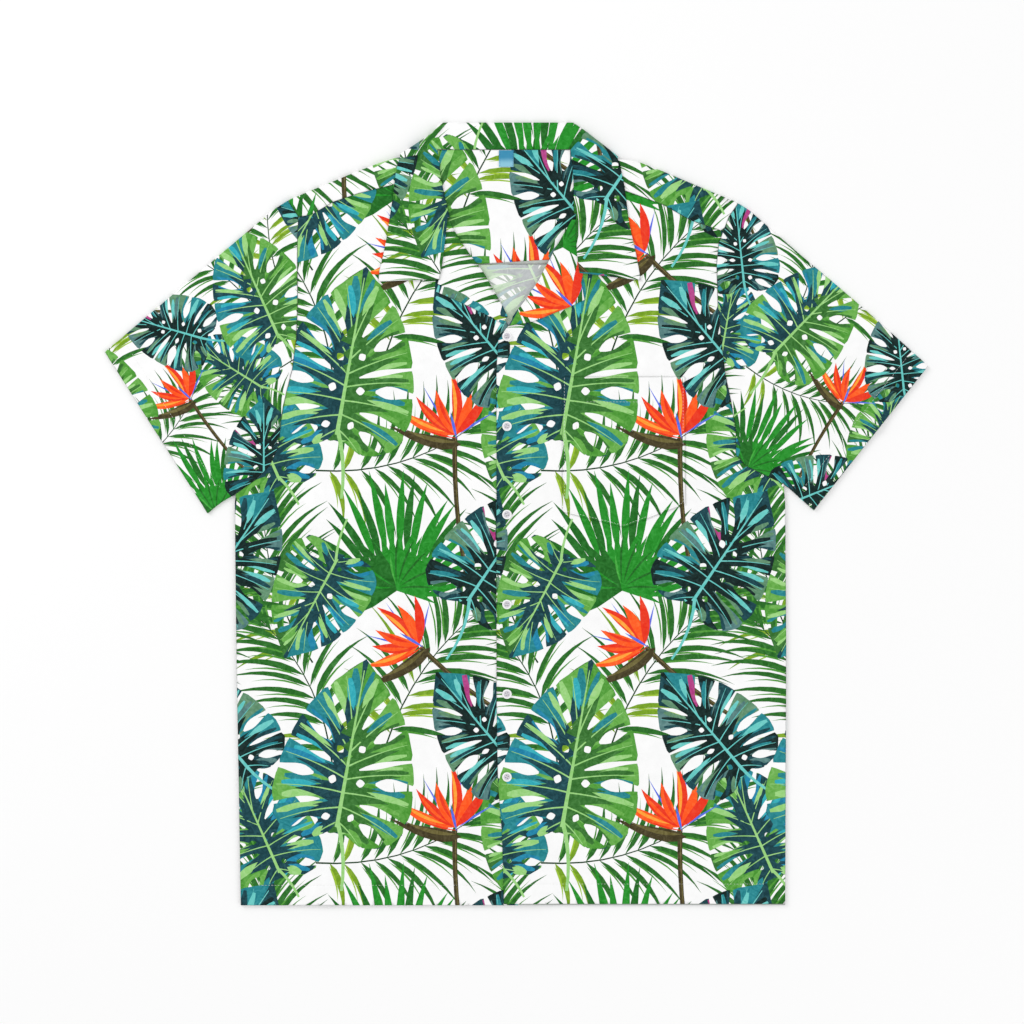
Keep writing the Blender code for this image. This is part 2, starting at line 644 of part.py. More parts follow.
def make_button(name, height):
    """Turned disc with a rounded rim round a sunk middle."""
    mesh = bmesh.new()
    base = float(left_front_height(0.0, height)) + 0.5 * CLOTH + SEAM_GAP
    rings = []
    for share, z in BUTTON_PROFILE:
        ring = []
        radius = share * BUTTON_RADIUS
        for k in range(BUTTON_SIDES):
            angle = 2 * math.pi * k / BUTTON_SIDES
            point = np.array((radius * math.cos(angle), radius * math.sin(angle), z))
            ring.append(mesh.verts.new(point * MM))
        rings.append(ring)
    for low, high in zip(rings, rings[1:]):
        for k in range(BUTTON_SIDES):
            after = (k + 1) % BUTTON_SIDES
            mesh.faces.new((low[k], low[after], high[after], high[k]))
    mesh.faces.new(rings[0][::-1])
    mesh.faces.new(rings[-1])
    button = solid(name, mesh)
    button.location = (0.0, height * MM, base * MM)
    return button


# Finish

def paint(item, colour, roughness):
    material = bpy.data.materials.new(item.name)
    material.use_nodes = True
    shader = material.node_tree.nodes["Principled BSDF"]
    shader.inputs["Base Color"].default_value = (*colour, 1.0)
    shader.inputs["Roughness"].default_value = roughness
    shader.inputs["Metallic"].default_value = 0.0
    item.data.materials.append(material)


def stand_on_origin(items):
    """Move the pieces so that the origin is under the middle of their box, on the floor."""
    bpy.context.view_layer.update()
    points = [item.matrix_world @ vertex.co for item in items for vertex in item.data.vertices]
    low = [min(p[axis] for p in points) for axis in range(3)]
    high = [max(p[axis] for p in points) for axis in range(3)]
    for item in items:
        item.location.x -= 0.5 * (low[0] + high[0])
        item.location.y -= 0.5 * (low[1] + high[1])
        item.location.z -= low[2]


def main():
    for item in list(bpy.data.objects):
        bpy.data.objects.remove(item, do_unlink=True)
    printed = [
        make_back(), make_yoke(), make_inner_yoke(), make_front_right(), make_front_left(),
        make_facing("facing_right", FACING_RIGHT, front_height, -1),
        make_facing("facing_left", FACING_LEFT, left_front_height, 1),
        make_collar(),
        make_sleeve("sleeve_right", SLEEVE_RIGHT, ARMHOLE_RIGHT, -1),
        make_sleeve("sleeve_left", SLEEVE_LEFT, ARMHOLE_LEFT, 1),
        make_pocket(),
    ]
    for item in printed:
        paint(item, (0.9, 0.92, 0.88), 0.75)
    label = make_label()
    paint(label, (0.05, 0.25, 0.55), 0.6)
    buttons = [make_button(f"button_{k + 1}", height) for k, height in enumerate(BUTTON_HEIGHTS)]
    for button in buttons:
        paint(button, (0.8, 0.78, 0.78), 0.25)
    stand_on_origin(printed + [label] + buttons)


main()
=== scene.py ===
# %% [markdown]
# # A tropical leaf shirt, laid flat
#
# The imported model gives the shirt's true shape: every cut piece of cloth is a plain wall. This lesson
# turns each wall into printed cloth. The print is drawn with formulas, cut into the cloth as real
# edges, and laid on the wall's own surface. Creases, stitches, buttons and the label follow.
#
# Sizes are millimetres on the garment: x from the button line, y up from the hem, z above the floor.

import itertools
import json
import math

import bmesh
import bpy
import numpy as np
from mathutils.bvhtree import BVHTree
from mathutils.geometry import delaunay_2d_cdt
from mathutils.kdtree import KDTree
from numpy.linalg import norm
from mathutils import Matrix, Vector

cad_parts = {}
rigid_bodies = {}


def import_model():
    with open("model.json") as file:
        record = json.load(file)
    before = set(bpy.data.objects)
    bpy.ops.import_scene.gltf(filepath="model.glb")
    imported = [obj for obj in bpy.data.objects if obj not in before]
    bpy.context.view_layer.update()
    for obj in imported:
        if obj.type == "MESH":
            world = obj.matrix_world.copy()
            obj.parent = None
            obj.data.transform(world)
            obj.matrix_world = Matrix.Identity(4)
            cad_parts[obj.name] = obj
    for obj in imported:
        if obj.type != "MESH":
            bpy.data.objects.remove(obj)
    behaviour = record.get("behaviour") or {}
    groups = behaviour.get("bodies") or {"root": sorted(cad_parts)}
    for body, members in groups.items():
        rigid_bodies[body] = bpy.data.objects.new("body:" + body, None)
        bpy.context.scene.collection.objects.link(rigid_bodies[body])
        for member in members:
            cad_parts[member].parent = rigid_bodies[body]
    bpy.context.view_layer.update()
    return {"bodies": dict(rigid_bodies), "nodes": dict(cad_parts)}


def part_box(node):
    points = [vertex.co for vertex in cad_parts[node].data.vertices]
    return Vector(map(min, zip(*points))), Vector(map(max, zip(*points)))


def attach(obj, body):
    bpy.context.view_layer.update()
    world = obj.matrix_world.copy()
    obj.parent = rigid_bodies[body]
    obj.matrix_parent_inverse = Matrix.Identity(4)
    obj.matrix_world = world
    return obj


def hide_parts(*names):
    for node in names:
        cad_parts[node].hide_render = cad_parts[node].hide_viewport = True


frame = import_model()
body = sorted(frame["bodies"])[0]
MM = 0.001
ORIGIN = np.array((9.5, 391.1, 0.0))    # where the model's origin lies on the garment
TINY, FAR = 1e-9, 1e9


# %% [markdown]
# ## Camera, light and floor
#
# A flat garment is looked at from straight above. A long lens keeps the edges of the frame upright.
# Light from a pale sky and one broad panel makes soft shadows, as in a studio.

# %% Set the stage
VIEW_WIDTH = 1.024                      # metres of floor across the picture
CAMERA_PLACE = (-0.0045, 0.0019, 3.2)
SENSOR = 36.0
WHITE = (1.0, 1.0, 1.0, 1.0)

scene = bpy.context.scene
scene.view_settings.view_transform = "Standard"


def show(name, data):
    made = bpy.data.objects.new(name, data)
    scene.collection.objects.link(made)
    return made


def panel_light(name, place, size, power):
    lamp = show(name, bpy.data.lights.new(name, "AREA"))
    lamp.data.size = size
    lamp.data.energy = power
    lamp.location = place
    lamp.rotation_euler = lamp.location.to_track_quat("Z", "Y").to_euler()


panel_light("broad_panel", (-2.4, 2.2, 2.0), 1.6, 44.0)
panel_light("fill_panel", (2.6, -1.8, 2.4), 2.4, 26.0)
scene.camera = show("eye", bpy.data.cameras.new("eye"))
scene.camera.location = CAMERA_PLACE
scene.camera.data.sensor_width = SENSOR
scene.camera.data.lens = SENSOR * CAMERA_PLACE[2] / VIEW_WIDTH
scene.world = bpy.data.worlds.new("sky")
scene.world.use_nodes = True
glow = scene.world.node_tree.nodes["Background"]
glow.inputs["Color"].default_value = WHITE
glow.inputs["Strength"].default_value = 0.80


# %% [markdown]
# ## A short way to write materials
#
# A material is a graph. Writing it as sums on sockets keeps it readable: `Wire` overloads the
# operators, and each one adds a Math node. All other nodes come from `Finish.node`.

# %% Small helper for materials
class Wire:
    """A socket that takes part in Python sums."""

    def __init__(self, finish, socket):
        self.finish = finish
        self.socket = socket

    def math(self, operation, *values):
        return self.finish.node("ShaderNodeMath", {"operation": operation}, dict(enumerate(values)))

    def __add__(self, other):
        return self.math("ADD", self, other)

    def __sub__(self, other):
        return self.math("SUBTRACT", self, other)

    def __rsub__(self, other):
        return self.math("SUBTRACT", other, self)

    def __mul__(self, other):
        return self.math("MULTIPLY", self, other)

    def wave(self, pitch):
        """A sine of this pitch, from -1 to 1."""
        return self.math("SINE", self * (2 * math.pi / pitch))

    def climb(self, low, high):
        """0 below low, 1 above high, and a soft step between."""
        return self.finish.node("ShaderNodeMapRange", {"interpolation_type": "SMOOTHSTEP"},
                                {"Value": self, "From Min": low, "From Max": high})

    __radd__ = __add__
    __rmul__ = __mul__


class Finish:
    """One material and its nodes."""

    def __init__(self, name, **constants):
        self.material = bpy.data.materials.new(name)
        self.material.use_nodes = True
        self.tree = self.material.node_tree
        self.paint({name.replace("_", " "): value for name, value in constants.items()})

    def node(self, kind, settings=None, inputs=None, out=0):
        made = self.tree.nodes.new(kind)
        for name, value in (settings or {}).items():
            setattr(made, name, value)
        self.give(made, inputs or {})
        return Wire(self, made.outputs[out])

    def give(self, node, inputs):
        """Sets a node's sockets to values or links wires to them."""
        for name, value in inputs.items():
            if isinstance(value, Wire):
                self.tree.links.new(value.socket, node.inputs[name])
            else:
                node.inputs[name].default_value = value

    def paint(self, inputs):
        """Gives the shader its values and wires."""
        self.give(self.tree.nodes["Principled BSDF"], inputs)
        return self.material

    def place(self):
        """Object coordinates."""
        return self.node("ShaderNodeTexCoord", out=3)

    def parts(self, vector):
        """The x, y and z of a vector."""
        split = self.node("ShaderNodeSeparateXYZ", {}, {0: vector}).socket.node
        return [Wire(self, socket) for socket in split.outputs]

    def attribute(self, name, out=0):
        return self.node("ShaderNodeAttribute", {"attribute_name": name}, {}, out)

    def mix(self, share, first, second):
        """Colour mix: share 0 gives the first."""
        return self.node("ShaderNodeMix", {"data_type": "RGBA"}, {0: share, 6: first, 7: second}, 2)

    def noise(self, place, scale, detail=2.0, rough=0.5, twist=0.0):
        return self.node("ShaderNodeTexNoise", {}, {
            "Vector": place, "Scale": scale, "Detail": detail, "Roughness": rough, "Distortion": twist})

    def bump(self, height, strength):
        return self.node("ShaderNodeBump", {}, {"Height": height, "Distance": 1.0, "Strength": strength})


def linear(colour):
    """Screen colour, 0 to 255, as the linear numbers that shaders read."""
    share = np.array(colour) / 255
    return (*np.where(share <= 0.04045, share / 12.92, ((share + 0.055) / 1.055) ** 2.4), 1.0)


# %% Lay the floor
FLOOR_REACH, FLOOR_LEVEL = 4, -0.0004   # metres
floor_paint = Finish("pale_floor", Base_Color=(0.95, 0.95, 0.95, 1.0), Roughness=0.9, Specular_IOR_Level=0.1)
floor = show("floor", bpy.data.meshes.new("floor"))
ways = ((-1, -1), (1, -1), (1, 1), (-1, 1))
floor.data.from_pydata([(x * FLOOR_REACH, y * FLOOR_REACH, FLOOR_LEVEL) for x, y in ways], [], [(0, 1, 2, 3)])
floor.data.materials.append(floor_paint.material)


# %% [markdown]
# ## Drawing the print
#
# A screen print is made of flat shapes of ink. Here each shape is an outline in millimetres with an
# ink name, and a motif is a list of them, from the lowest to the topmost. A shape with no ink is a
# hole, through which whatever lies under the motif shows. Outlines come from a few formulas: a bent
# line, a ribbon along it and a pointed blade.

# %% Inks and line helpers
INKS = {
    "navy": (30, 74, 82), "teal": (44, 138, 146), "aqua": (58, 176, 188), "blue": (38, 138, 172),
    "green": (86, 158, 62), "leaf": (110, 176, 82), "mint": (158, 212, 132), "moss": (62, 120, 54),
    "black": (20, 44, 42), "slate": (92, 132, 130), "sage": (102, 146, 114), "rose": (182, 72, 138),
    "pale teal": (112, 204, 198), "lime": (126, 166, 44), "lime light": (160, 196, 60),
    "fern dark": (32, 70, 38), "fern": (48, 114, 44), "fern light": (84, 154, 60),
    "palm": (42, 146, 46), "palm dark": (38, 112, 40), "palm light": (76, 172, 70),
    "orange": (255, 98, 38), "red": (236, 62, 36), "amber": (255, 165, 62), "violet": (96, 118, 228),
    "olive": (76, 68, 42), "olive light": (112, 104, 60),
}
INK_NUMBERS = {ink: number for number, ink in enumerate(INKS)}
CLOTH_WHITE = (250, 250, 250)


def heading(degrees):
    """Unit vector at an angle from +x."""
    return np.array([math.cos(math.radians(degrees)), math.sin(math.radians(degrees))])


def turned(points, degrees):
    c, s = heading(degrees)
    return np.asarray(points, float) @ np.array([[c, s], [-s, c]])


def left_of(run):
    """A direction, or each one of a list, turned a quarter to the left."""
    return np.stack([-run[..., 1], run[..., 0]], axis=-1)


def unit_rows(vectors):
    return vectors / norm(vectors, axis=1)[:, None]


def bent(start, end, bend, count=7):
    """Points on a curved line between two points; bend is sideways, as a share of its length."""
    start, end = np.array(start, float), np.array(end, float)
    run = end - start
    middle = start + 0.5 * run + bend * left_of(run)
    t = np.linspace(0, 1, count)[:, None]
    return (1 - t) ** 2 * start + 2 * t * (1 - t) * middle + t ** 2 * end


def ribbon(line, widths):
    """Outline of a band along a line, with its full width at each point."""
    line = np.asarray(line, float)
    side = unit_rows(left_of(np.gradient(line, axis=0)))
    half = 0.5 * np.asarray(widths, float)[:, None]
    return np.concatenate([line + side * half, (line - side * half)[::-1]])


def blade(start, end, width, bend=0.0, belly=0.4, count=7):
    """Pointed leaf shape, widest at belly."""
    t = np.linspace(0, 1, count)
    rise = np.sin(0.5 * math.pi * np.clip(t / belly, 0, 1)) ** 0.8
    fall = np.clip(np.cos(0.5 * math.pi * np.clip((t - belly) / (1 - belly), 0, 1)), 0, 1) ** 1.1
    return ribbon(bent(start, end, bend, count), width * np.maximum(np.where(t < belly, rise, fall), 0.02))


# %% [markdown]
# ### Palms
#
# A feather palm carries two rows of narrow leaflets, long in the middle of the rib. A fan palm has
# stiff blades that spring from one point and are joined near it. A light streak on each blade reads
# as its glossy half.

# %% Feather palm and fan palm
def feather_palm(rng, length=215.0, bow=0.2, pairs=16, leaflet=92.0, width=5.8):
    rib = bent((0, 0), (0, length), bow, 61)
    run = np.gradient(rib, axis=0)
    shapes = [("fern dark", ribbon(rib[::6], np.linspace(1.7, 0.6, 11)))]
    for k, side in itertools.product(range(pairs), (-1, 1)):
        u = 0.08 + 0.9 * k / (pairs - 1)
        place = int(np.clip(u + rng.uniform(-0.012, 0.012), 0, 1) * 60)
        start = rib[place]
        spread = 84 - 58 * u ** 0.9 + rng.uniform(-4, 4)
        reach = leaflet * (0.48 + 0.52 * math.sin(math.pi * min(1.0, 0.1 + 0.82 * u)))
        reach *= rng.uniform(0.88, 1.08)
        way = turned(run[place] / norm(run[place]), side * spread)
        bend = -side * rng.uniform(0.12, 0.22)
        ink = "lime" if u < 0.34 and rng.random() < 0.55 else "fern"
        broad = width * rng.uniform(0.82, 1.12)
        shapes.append((ink, blade(start, start + way * reach, broad, bend, 0.24, 8)))
        drift = left_of(way) * broad * 0.22 * side
        ends = (start + way * reach * far + drift for far in (0.05, 0.7))
        shapes.append((ink + " light", blade(*ends, broad * 0.34, bend * 0.8, 0.3, 6)))
    return shapes


def fan_palm(rng, reach=112.0, blades=23, open_to=118.0):
    """The blades leave a joined middle and arch upwards; the left third lies in shade."""
    angles = [(2 * k / (blades - 1) - 1) * open_to for k in range(blades)]
    shapes, rim = [], [(0, -3)]
    for k, angle in enumerate(angles):
        tall = math.cos(math.radians(0.62 * angle))
        core = reach * (0.36 + 0.16 * tall)
        far = reach * (0.62 + 0.42 * tall) * rng.uniform(0.9, 1.06)
        tip_angle = angle * 0.78 + rng.uniform(-3, 3)
        start, tip = heading(90 - angle) * core * 0.6, heading(90 - tip_angle) * far
        bend = 0.10 * math.sin(math.radians(angle))
        ink = "palm dark" if angle < -34 or k % 4 == 1 else "palm"
        shapes.append((ink, blade(start, tip, 7.4 * (0.8 + 0.3 * tall), bend, 0.4, 9)))
        rim.append(heading(90 - angle + open_to / (blades - 1)) * core * 0.66)
        rim.append(heading(90 - angle) * core * rng.uniform(0.92, 1.02))
    shaded = 1 + 2 * sum(angle < -20 for angle in angles)
    shapes.append(("palm", np.array(rim)))
    shapes.append(("palm dark", np.array(rim[:shaded] + [(reach * -0.03, reach * 0.2)])))
    for angle, far, ink in ((8, 0.50, "palm dark"), (26, 0.46, "palm dark"), (46, 0.44, "palm dark"),
                            (70, 0.38, "palm dark"), (96, 0.32, "palm dark"), (-5, 0.3, "palm light"),
                            (-48, 0.36, "palm"), (-80, 0.3, "palm")):
        way = heading(90 - angle)
        shapes.append((ink, blade(way * 4, way * reach * far, 2.2, 0.07, 0.6, 6)))
    return shapes


# %% [markdown]
# ### Split leaf
#
# A split leaf is a heart with slits from its edge, between the veins, and small holes beside the
# midrib. Everything follows one family of lines that runs from the midrib to the edge: lobes,
# streaks, veins and slits are ribbons along it.

# %% Split leaf
HEART = (   # share of the width and of the length, from the stalk round one side to the tip
    (0.0, 0.04), (0.07, -0.045), (0.20, -0.10), (0.36, -0.085), (0.47, 0.02), (0.505, 0.17),
    (0.49, 0.34), (0.445, 0.51), (0.37, 0.68), (0.255, 0.83), (0.115, 0.945), (0.0, 1.04),
)
# Widths of ribbons as shares, from the midrib to the edge.
SLIT = np.array([0.2, 0.66, 0.95, 1.0, 0.9, 0.72, 0.55, 0.44, 0.46])
EYE = np.array([0.15, 0.7, 1.0, 0.96, 0.66, 0.12])
ACCENT = np.array([0.2, 0.7, 0.95, 1.0, 0.95, 0.9, 0.8])
DARK = np.array([0.62, 0.57, 0.45, 0.31, 0.2, 0.1, 0.01])
DARK_BESIDE = np.array([0.36, 0.31, 0.22, 0.15, 0.1, 0.05, 0.01])
STREAK = np.sin(np.linspace(0.04, 0.9, 7) * math.pi) ** 0.8


def split_leaf(rng, length, width, lobes, halves, rib, stalk=60.0, stalk_bend=0.12, accent=None):
    """halves: for the left and the right half, (lobe inks, streak inks, dark ink, vein ink)."""
    table = np.array(HEART) * (width, length)
    walked = np.concatenate([[0], np.cumsum(norm(np.diff(table, axis=0), axis=1))])
    walked /= walked[-1]
    cuts = {side: [0.02] + [0.10 + 0.86 * (k + rng.uniform(-0.15, 0.15)) / lobes
                            for k in range(1, lobes)] + [0.985] for side in (-1, 1)}

    def edge(side, share):
        """The heart's outline, drawn in a little at each cut so that the lobes end round."""
        x, y = (np.interp(share, walked, column) for column in table.T)
        spot = np.array([side * x, y])
        gap = min(abs(share - cut) for cut in cuts[side][1:-1])
        return spot + (np.array((0, 0.42 * length)) - spot) * 0.03 * math.exp(-(gap / 0.014) ** 2)

    def vein_line(side, share, low, high, count=7):
        foot = np.array([0.0, length * (0.035 + 0.68 * max(0.0, share - 0.13) ** 1.04)])
        line = bent(foot, edge(side, share), side * 0.10 * (1 - 0.7 * share), 25)
        at = np.linspace(low, high, count) * 24
        i = np.clip(at, 0, 23).astype(int)
        return line[i] + (line[i + 1] - line[i]) * (at - i)[:, None]

    outline = [edge(-1, share) for share in np.linspace(0, 1, 44)]
    outline += [edge(1, share) for share in np.linspace(1, 0, 44)[1:-1]]
    shapes, holes = [(halves[0][0][0], np.array(outline))], []
    for side, (lobe_inks, streak_inks, dark, vein) in zip((-1, 1), halves):
        for k in range(lobes):
            low, high = cuts[side][k:k + 2]
            middle, wide = 0.5 * (low + high), high - low
            span = norm(edge(side, high) - edge(side, low))
            rim = [edge(side, share) for share in np.linspace(low, high, 6)[1:-1]]
            lobe = np.vstack([vein_line(side, low, 0, 1), rim, vein_line(side, high, 0, 1)[::-1]])
            shapes.append((lobe_inks[k % len(lobe_inks)], lobe))
            for n, drift in enumerate((-0.30, 0.27, 0.08)):
                at = middle + (drift + rng.uniform(-0.03, 0.03)) * wide
                line = vein_line(side, at, rng.uniform(0.15, 0.4), rng.uniform(0.85, 0.99))
                ink = streak_inks[(k + n) % len(streak_inks)]
                shapes.append((ink, ribbon(line, span * rng.uniform(0.14, 0.26) * STREAK)))
            for drift, least, most, widths in ((-0.10, 0.55, 0.86, DARK), (0.26, 0.35, 0.6, DARK_BESIDE)):
                line = vein_line(side, middle + drift * wide, 0.0, rng.uniform(least, most))
                shapes.append((dark, ribbon(line, span * widths)))
            line = vein_line(side, middle, 0.0, 0.95)
            shapes.append((vein, ribbon(line, np.linspace(0.010, 0.003, 7) * length)))
            if k and low < 0.93:
                deep = rng.uniform(0.46, 0.6) if k % 2 else rng.uniform(0.64, 0.8)
                broad = length * (rng.uniform(0.066, 0.088) if k % 2 else rng.uniform(0.036, 0.054))
                holes.append((None, ribbon(vein_line(side, low, 1 - deep, 1.08, 9), broad * SLIT)))
                if k % 2 and k < lobes - 1:
                    start = rng.uniform(0.12, 0.2)
                    line = vein_line(side, low + 0.004, start, start + rng.uniform(0.10, 0.18), 6)
                    holes.append((None, ribbon(line, length * rng.uniform(0.034, 0.056) * EYE)))
    if accent:
        ink, side, share, low, high, broad = accent
        shapes.append((ink, ribbon(vein_line(side, share, low, high), broad * length * ACCENT)))
    midrib = bent((0, 0), (0, 0.97 * length), 0.0, 6)
    foot = bent((0, 0.03 * length), (stalk * 0.25, -stalk), stalk_bend, 6)
    return shapes + holes + [(rib, ribbon(midrib, np.linspace(0.026, 0.006, 6) * length)),
                             (rib, ribbon(foot, np.linspace(0.026, 0.018, 6) * length))]


# %% [markdown]
# ### Bird of paradise
#
# The flower rises out of a pointed sheath: a crest of orange petals with blue tongues, on a long
# stem.

# %% Bird of paradise
def bird_flower(rng, petals=6, reach=60.0, stem=150.0, lean=0.2):
    foot = (stem * lean, -stem)
    shapes = [("olive", ribbon(bent((0, 0), foot, -0.06, 8), np.linspace(5.0, 4.0, 8))),
              ("olive light", ribbon(bent((0.8, 0), (foot[0] + 0.8, foot[1]), -0.06, 8), np.full(8, 0.9)))]
    for angle, far in ((128, 1.0), (88, 1.0), (38, 0.8)):
        way = heading(angle)
        shapes.append(("violet", blade(way * 4, way * reach * far, 2.2, 0.03, 0.4, 6)))
    for k in range(petals):
        way = heading(158 - 100 * k / (petals - 1) + rng.uniform(-3, 3))
        far = reach * (0.92 + 0.14 * math.sin(2.3 * k + 1)) * rng.uniform(0.95, 1.05)
        bend = 0.12 if k < petals / 2 else -0.12
        broad = 9.5 + rng.random()
        shapes.append((("orange", "red")[k % 2], blade((0, 2), way * far, broad, bend, 0.5, 9)))
        drift = left_of(way) * broad * (0.2 if k % 2 else -0.2)
        start, end = way * 10 + drift * 0.4, way * far * 0.92 + drift * 0.5
        ink = ("amber", "orange", "red")[k % 3]
        shapes.append((ink, blade(start, end, broad * 0.34, bend, 0.55, 7)))
    return shapes + [("violet", blade((2, -2), (-7, 24), 3.0, 0.0, 0.5, 6)),
                     ("olive", blade((7, -7), (-66, 4), 13.0, 0.12, 0.24, 9)),
                     ("olive light", blade((2, -5), (-52, 3), 4.2, 0.12, 0.4, 8)),
                     ("red", blade((2, -1.0), (-36, 5.5), 2.0, 0.08, 0.5, 6))]


# %% [markdown]
# ### The repeat
#
# One repeat holds every motif once or twice, turned and overlapped so that no row shows. The table
# gives the middle of each motif in the repeat, from the lowest layer to the topmost.

# %% Motifs and repeat
BLUE_HALF = (("navy", "teal", "leaf", "teal"), ("aqua", "blue", "mint", "teal"), "navy", "mint")
GREEN_HALF = (("green", "leaf", "green", "leaf"), ("mint", "moss", "leaf", "teal"), "moss", "mint")
FRESH_HALF = (("leaf", "green", "moss"), ("mint", "leaf", "teal"), "navy", "mint")
DARK_HALF = (("black", "slate", "navy", "sage"), ("pale teal", "navy", "sage", "black"), "black", "pale teal")
DEEP_HALF = (("navy", "black", "teal", "sage"), ("pale teal", "slate", "navy", "teal"), "black", "pale teal")

seeded = np.random.default_rng
MOTIFS = {  # name: (height of its middle above its foot, shapes)
    "great leaf": (75, split_leaf(seeded(3), 164, 140, 7, (BLUE_HALF, GREEN_HALF), "mint", 62, 0.1)),
    "dark leaf": (55, split_leaf(seeded(5), 122, 104, 7, (DARK_HALF, DEEP_HALF), "pale teal", 46, -0.1,
                                 ("rose", 1, 0.86, 0.3, 0.98, 0.05))),
    "deep leaf": (58, split_leaf(seeded(8), 128, 112, 7, (DEEP_HALF, DARK_HALF), "pale teal", 60, 0.15,
                                 ("rose", -1, 0.72, 0.3, 0.98, 0.045))),
    "small leaf": (50, split_leaf(seeded(11), 108, 98, 6, (BLUE_HALF, FRESH_HALF), "mint", 40, 0.1)),
    "fresh leaf": (54, split_leaf(seeded(12), 118, 104, 6, (FRESH_HALF, BLUE_HALF), "mint", 30, 0.1)),
    "long palm": (110, feather_palm(seeded(21))),
    "short palm": (98, feather_palm(seeded(22), 196, -0.22, 14, 84)),
    "fan palm": (45, fan_palm(seeded(31))),
    "flower": (10, bird_flower(seeded(41))),
    "low flower": (10, bird_flower(seeded(42), 6, 56, 110)),
}
REPEAT = np.array((268.0, 392.0))
REPEAT_TABLE = (    # motif, its middle, turn in degrees
    ("short palm", (128, 226), -70),
    ("long palm", (10, 108), 12),
    ("short palm", (4, 372), 30),
    ("long palm", (176, 0), -40),
    ("fan palm", (112, 120), 6),
    ("fresh leaf", (246, 232), 24),
    ("flower", (176, 236), -6),
    ("small leaf", (34, 60), 152),
    ("low flower", (134, 24), 40),
    ("deep leaf", (220, 110), -34),
    ("dark leaf", (202, 328), 40),
    ("great leaf", (70, 302), -10),
)
print("shapes in the repeat:", sum(len(MOTIFS[row[0]][1]) for row in REPEAT_TABLE))


# %% [markdown]
# ## Reading a wall
#
# A wall of cloth is a closed solid: two broad skins and a narrow rim. Parting the solid at its sharp
# edges gives the skins as the two largest pieces. The skin with the print is the upper one, the lower
# one on the back panel, and the outer one where the cloth is folded over.

# %% Skins of a solid
UP, DOWN, ROUND = 1, -1, 0      # where the printed side of a piece is
SHARP = 62.0                    # degrees between two triangles of different skins


def values_of(items, field, width=1, kind=float):
    """One property of all points, corners or faces of a mesh."""
    values = np.empty(len(items) * width, dtype=kind)
    items.foreach_get(field, values)
    return values.reshape(-1, width) if width > 1 else values


def tally(groups):
    """Distinct groups of numbers, the number of each given group among them, and how many there are."""
    groups, place, count = np.unique(np.sort(groups, axis=1), axis=0, return_inverse=True, return_counts=True)
    return groups, place.ravel(), count


def whole(triangles):
    """True where the three corners differ."""
    return (triangles != np.roll(triangles, 1, axis=1)).all(axis=1)


def runs_of(triangles):
    """The directed edges of all triangles."""
    return np.concatenate([triangles[:, (0, 1)], triangles[:, (1, 2)], triangles[:, (2, 0)]])


def rim_of(triangles):
    """The directed edges that one triangle owns alone."""
    runs = runs_of(triangles)
    _, place, count = tally(runs)
    return runs[count[place] == 1]


def owners_of(triangles):
    """Edges, how many triangles own each of them, and its last two owners."""
    edges, place, count = tally(runs_of(triangles))
    owners = np.argsort(place, kind="stable") % len(triangles)
    last = np.cumsum(count) - 1
    return edges, count, owners[np.column_stack([last - 1, last])]


def spread(labels, doors):
    """Labels run from triangle to triangle through doors, and the lower one wins."""
    unlike = doors[labels[doors[:, 0]] != labels[doors[:, 1]]]
    while len(unlike):
        np.minimum.at(labels, unlike.ravel(), np.repeat(labels[unlike].min(axis=1), 2))
        unlike = doors[labels[doors[:, 0]] != labels[doors[:, 1]]]
    return labels


def face_normals(points, triangles):
    """Normals of triangles, as long as twice their area."""
    a, b, c = (points[triangles[:, k]] for k in range(3))
    return np.cross(b - a, c - a)


def printed_skin(name, side):
    """Points, triangles and point normals of the skin that carries the print."""
    mesh = frame["nodes"][name].data
    mesh.calc_loop_triangles()
    places = np.round(values_of(mesh.vertices, "co", 3) / MM, 3)
    points, merged = np.unique(places, axis=0, return_inverse=True)
    points = points + ORIGIN
    triangles = merged.ravel()[values_of(mesh.loop_triangles, "vertices", 3, int)]
    triangles = triangles[whole(triangles)]

    normals = face_normals(points, triangles)
    size = norm(normals, axis=1)
    ways = normals / np.maximum(size, TINY)[:, None]
    _, count, owners = owners_of(triangles)
    flat = (ways[owners[:, 0]] * ways[owners[:, 1]]).sum(axis=1) > math.cos(math.radians(SHARP))
    group = spread(np.arange(len(triangles)), owners[(count == 2) & flat])
    skins = [group == number for number in np.argsort(np.bincount(group, size))[-2:]]
    if side == ROUND:
        skin = triangles[max(skins, key=lambda own: np.ptp(points[triangles[own], 2]))]
    else:
        skin = triangles[max(skins, key=lambda own: side * normals[own, 2].sum())]
    normals = np.zeros_like(points)
    for k in range(3):
        np.add.at(normals, skin[:, k], face_normals(points, skin))
    return points, skin, normals / np.maximum(norm(normals, axis=1), TINY)[:, None]


# %% [markdown]
# ## Creases
#
# Pressed cloth that lies flat still keeps soft creases. Each row of the table is one ridge or trough
# with its own length, width and depth. They pass through all the layers that lie on each other, so
# the layers never touch, and they fade out near the buttons and the collar.

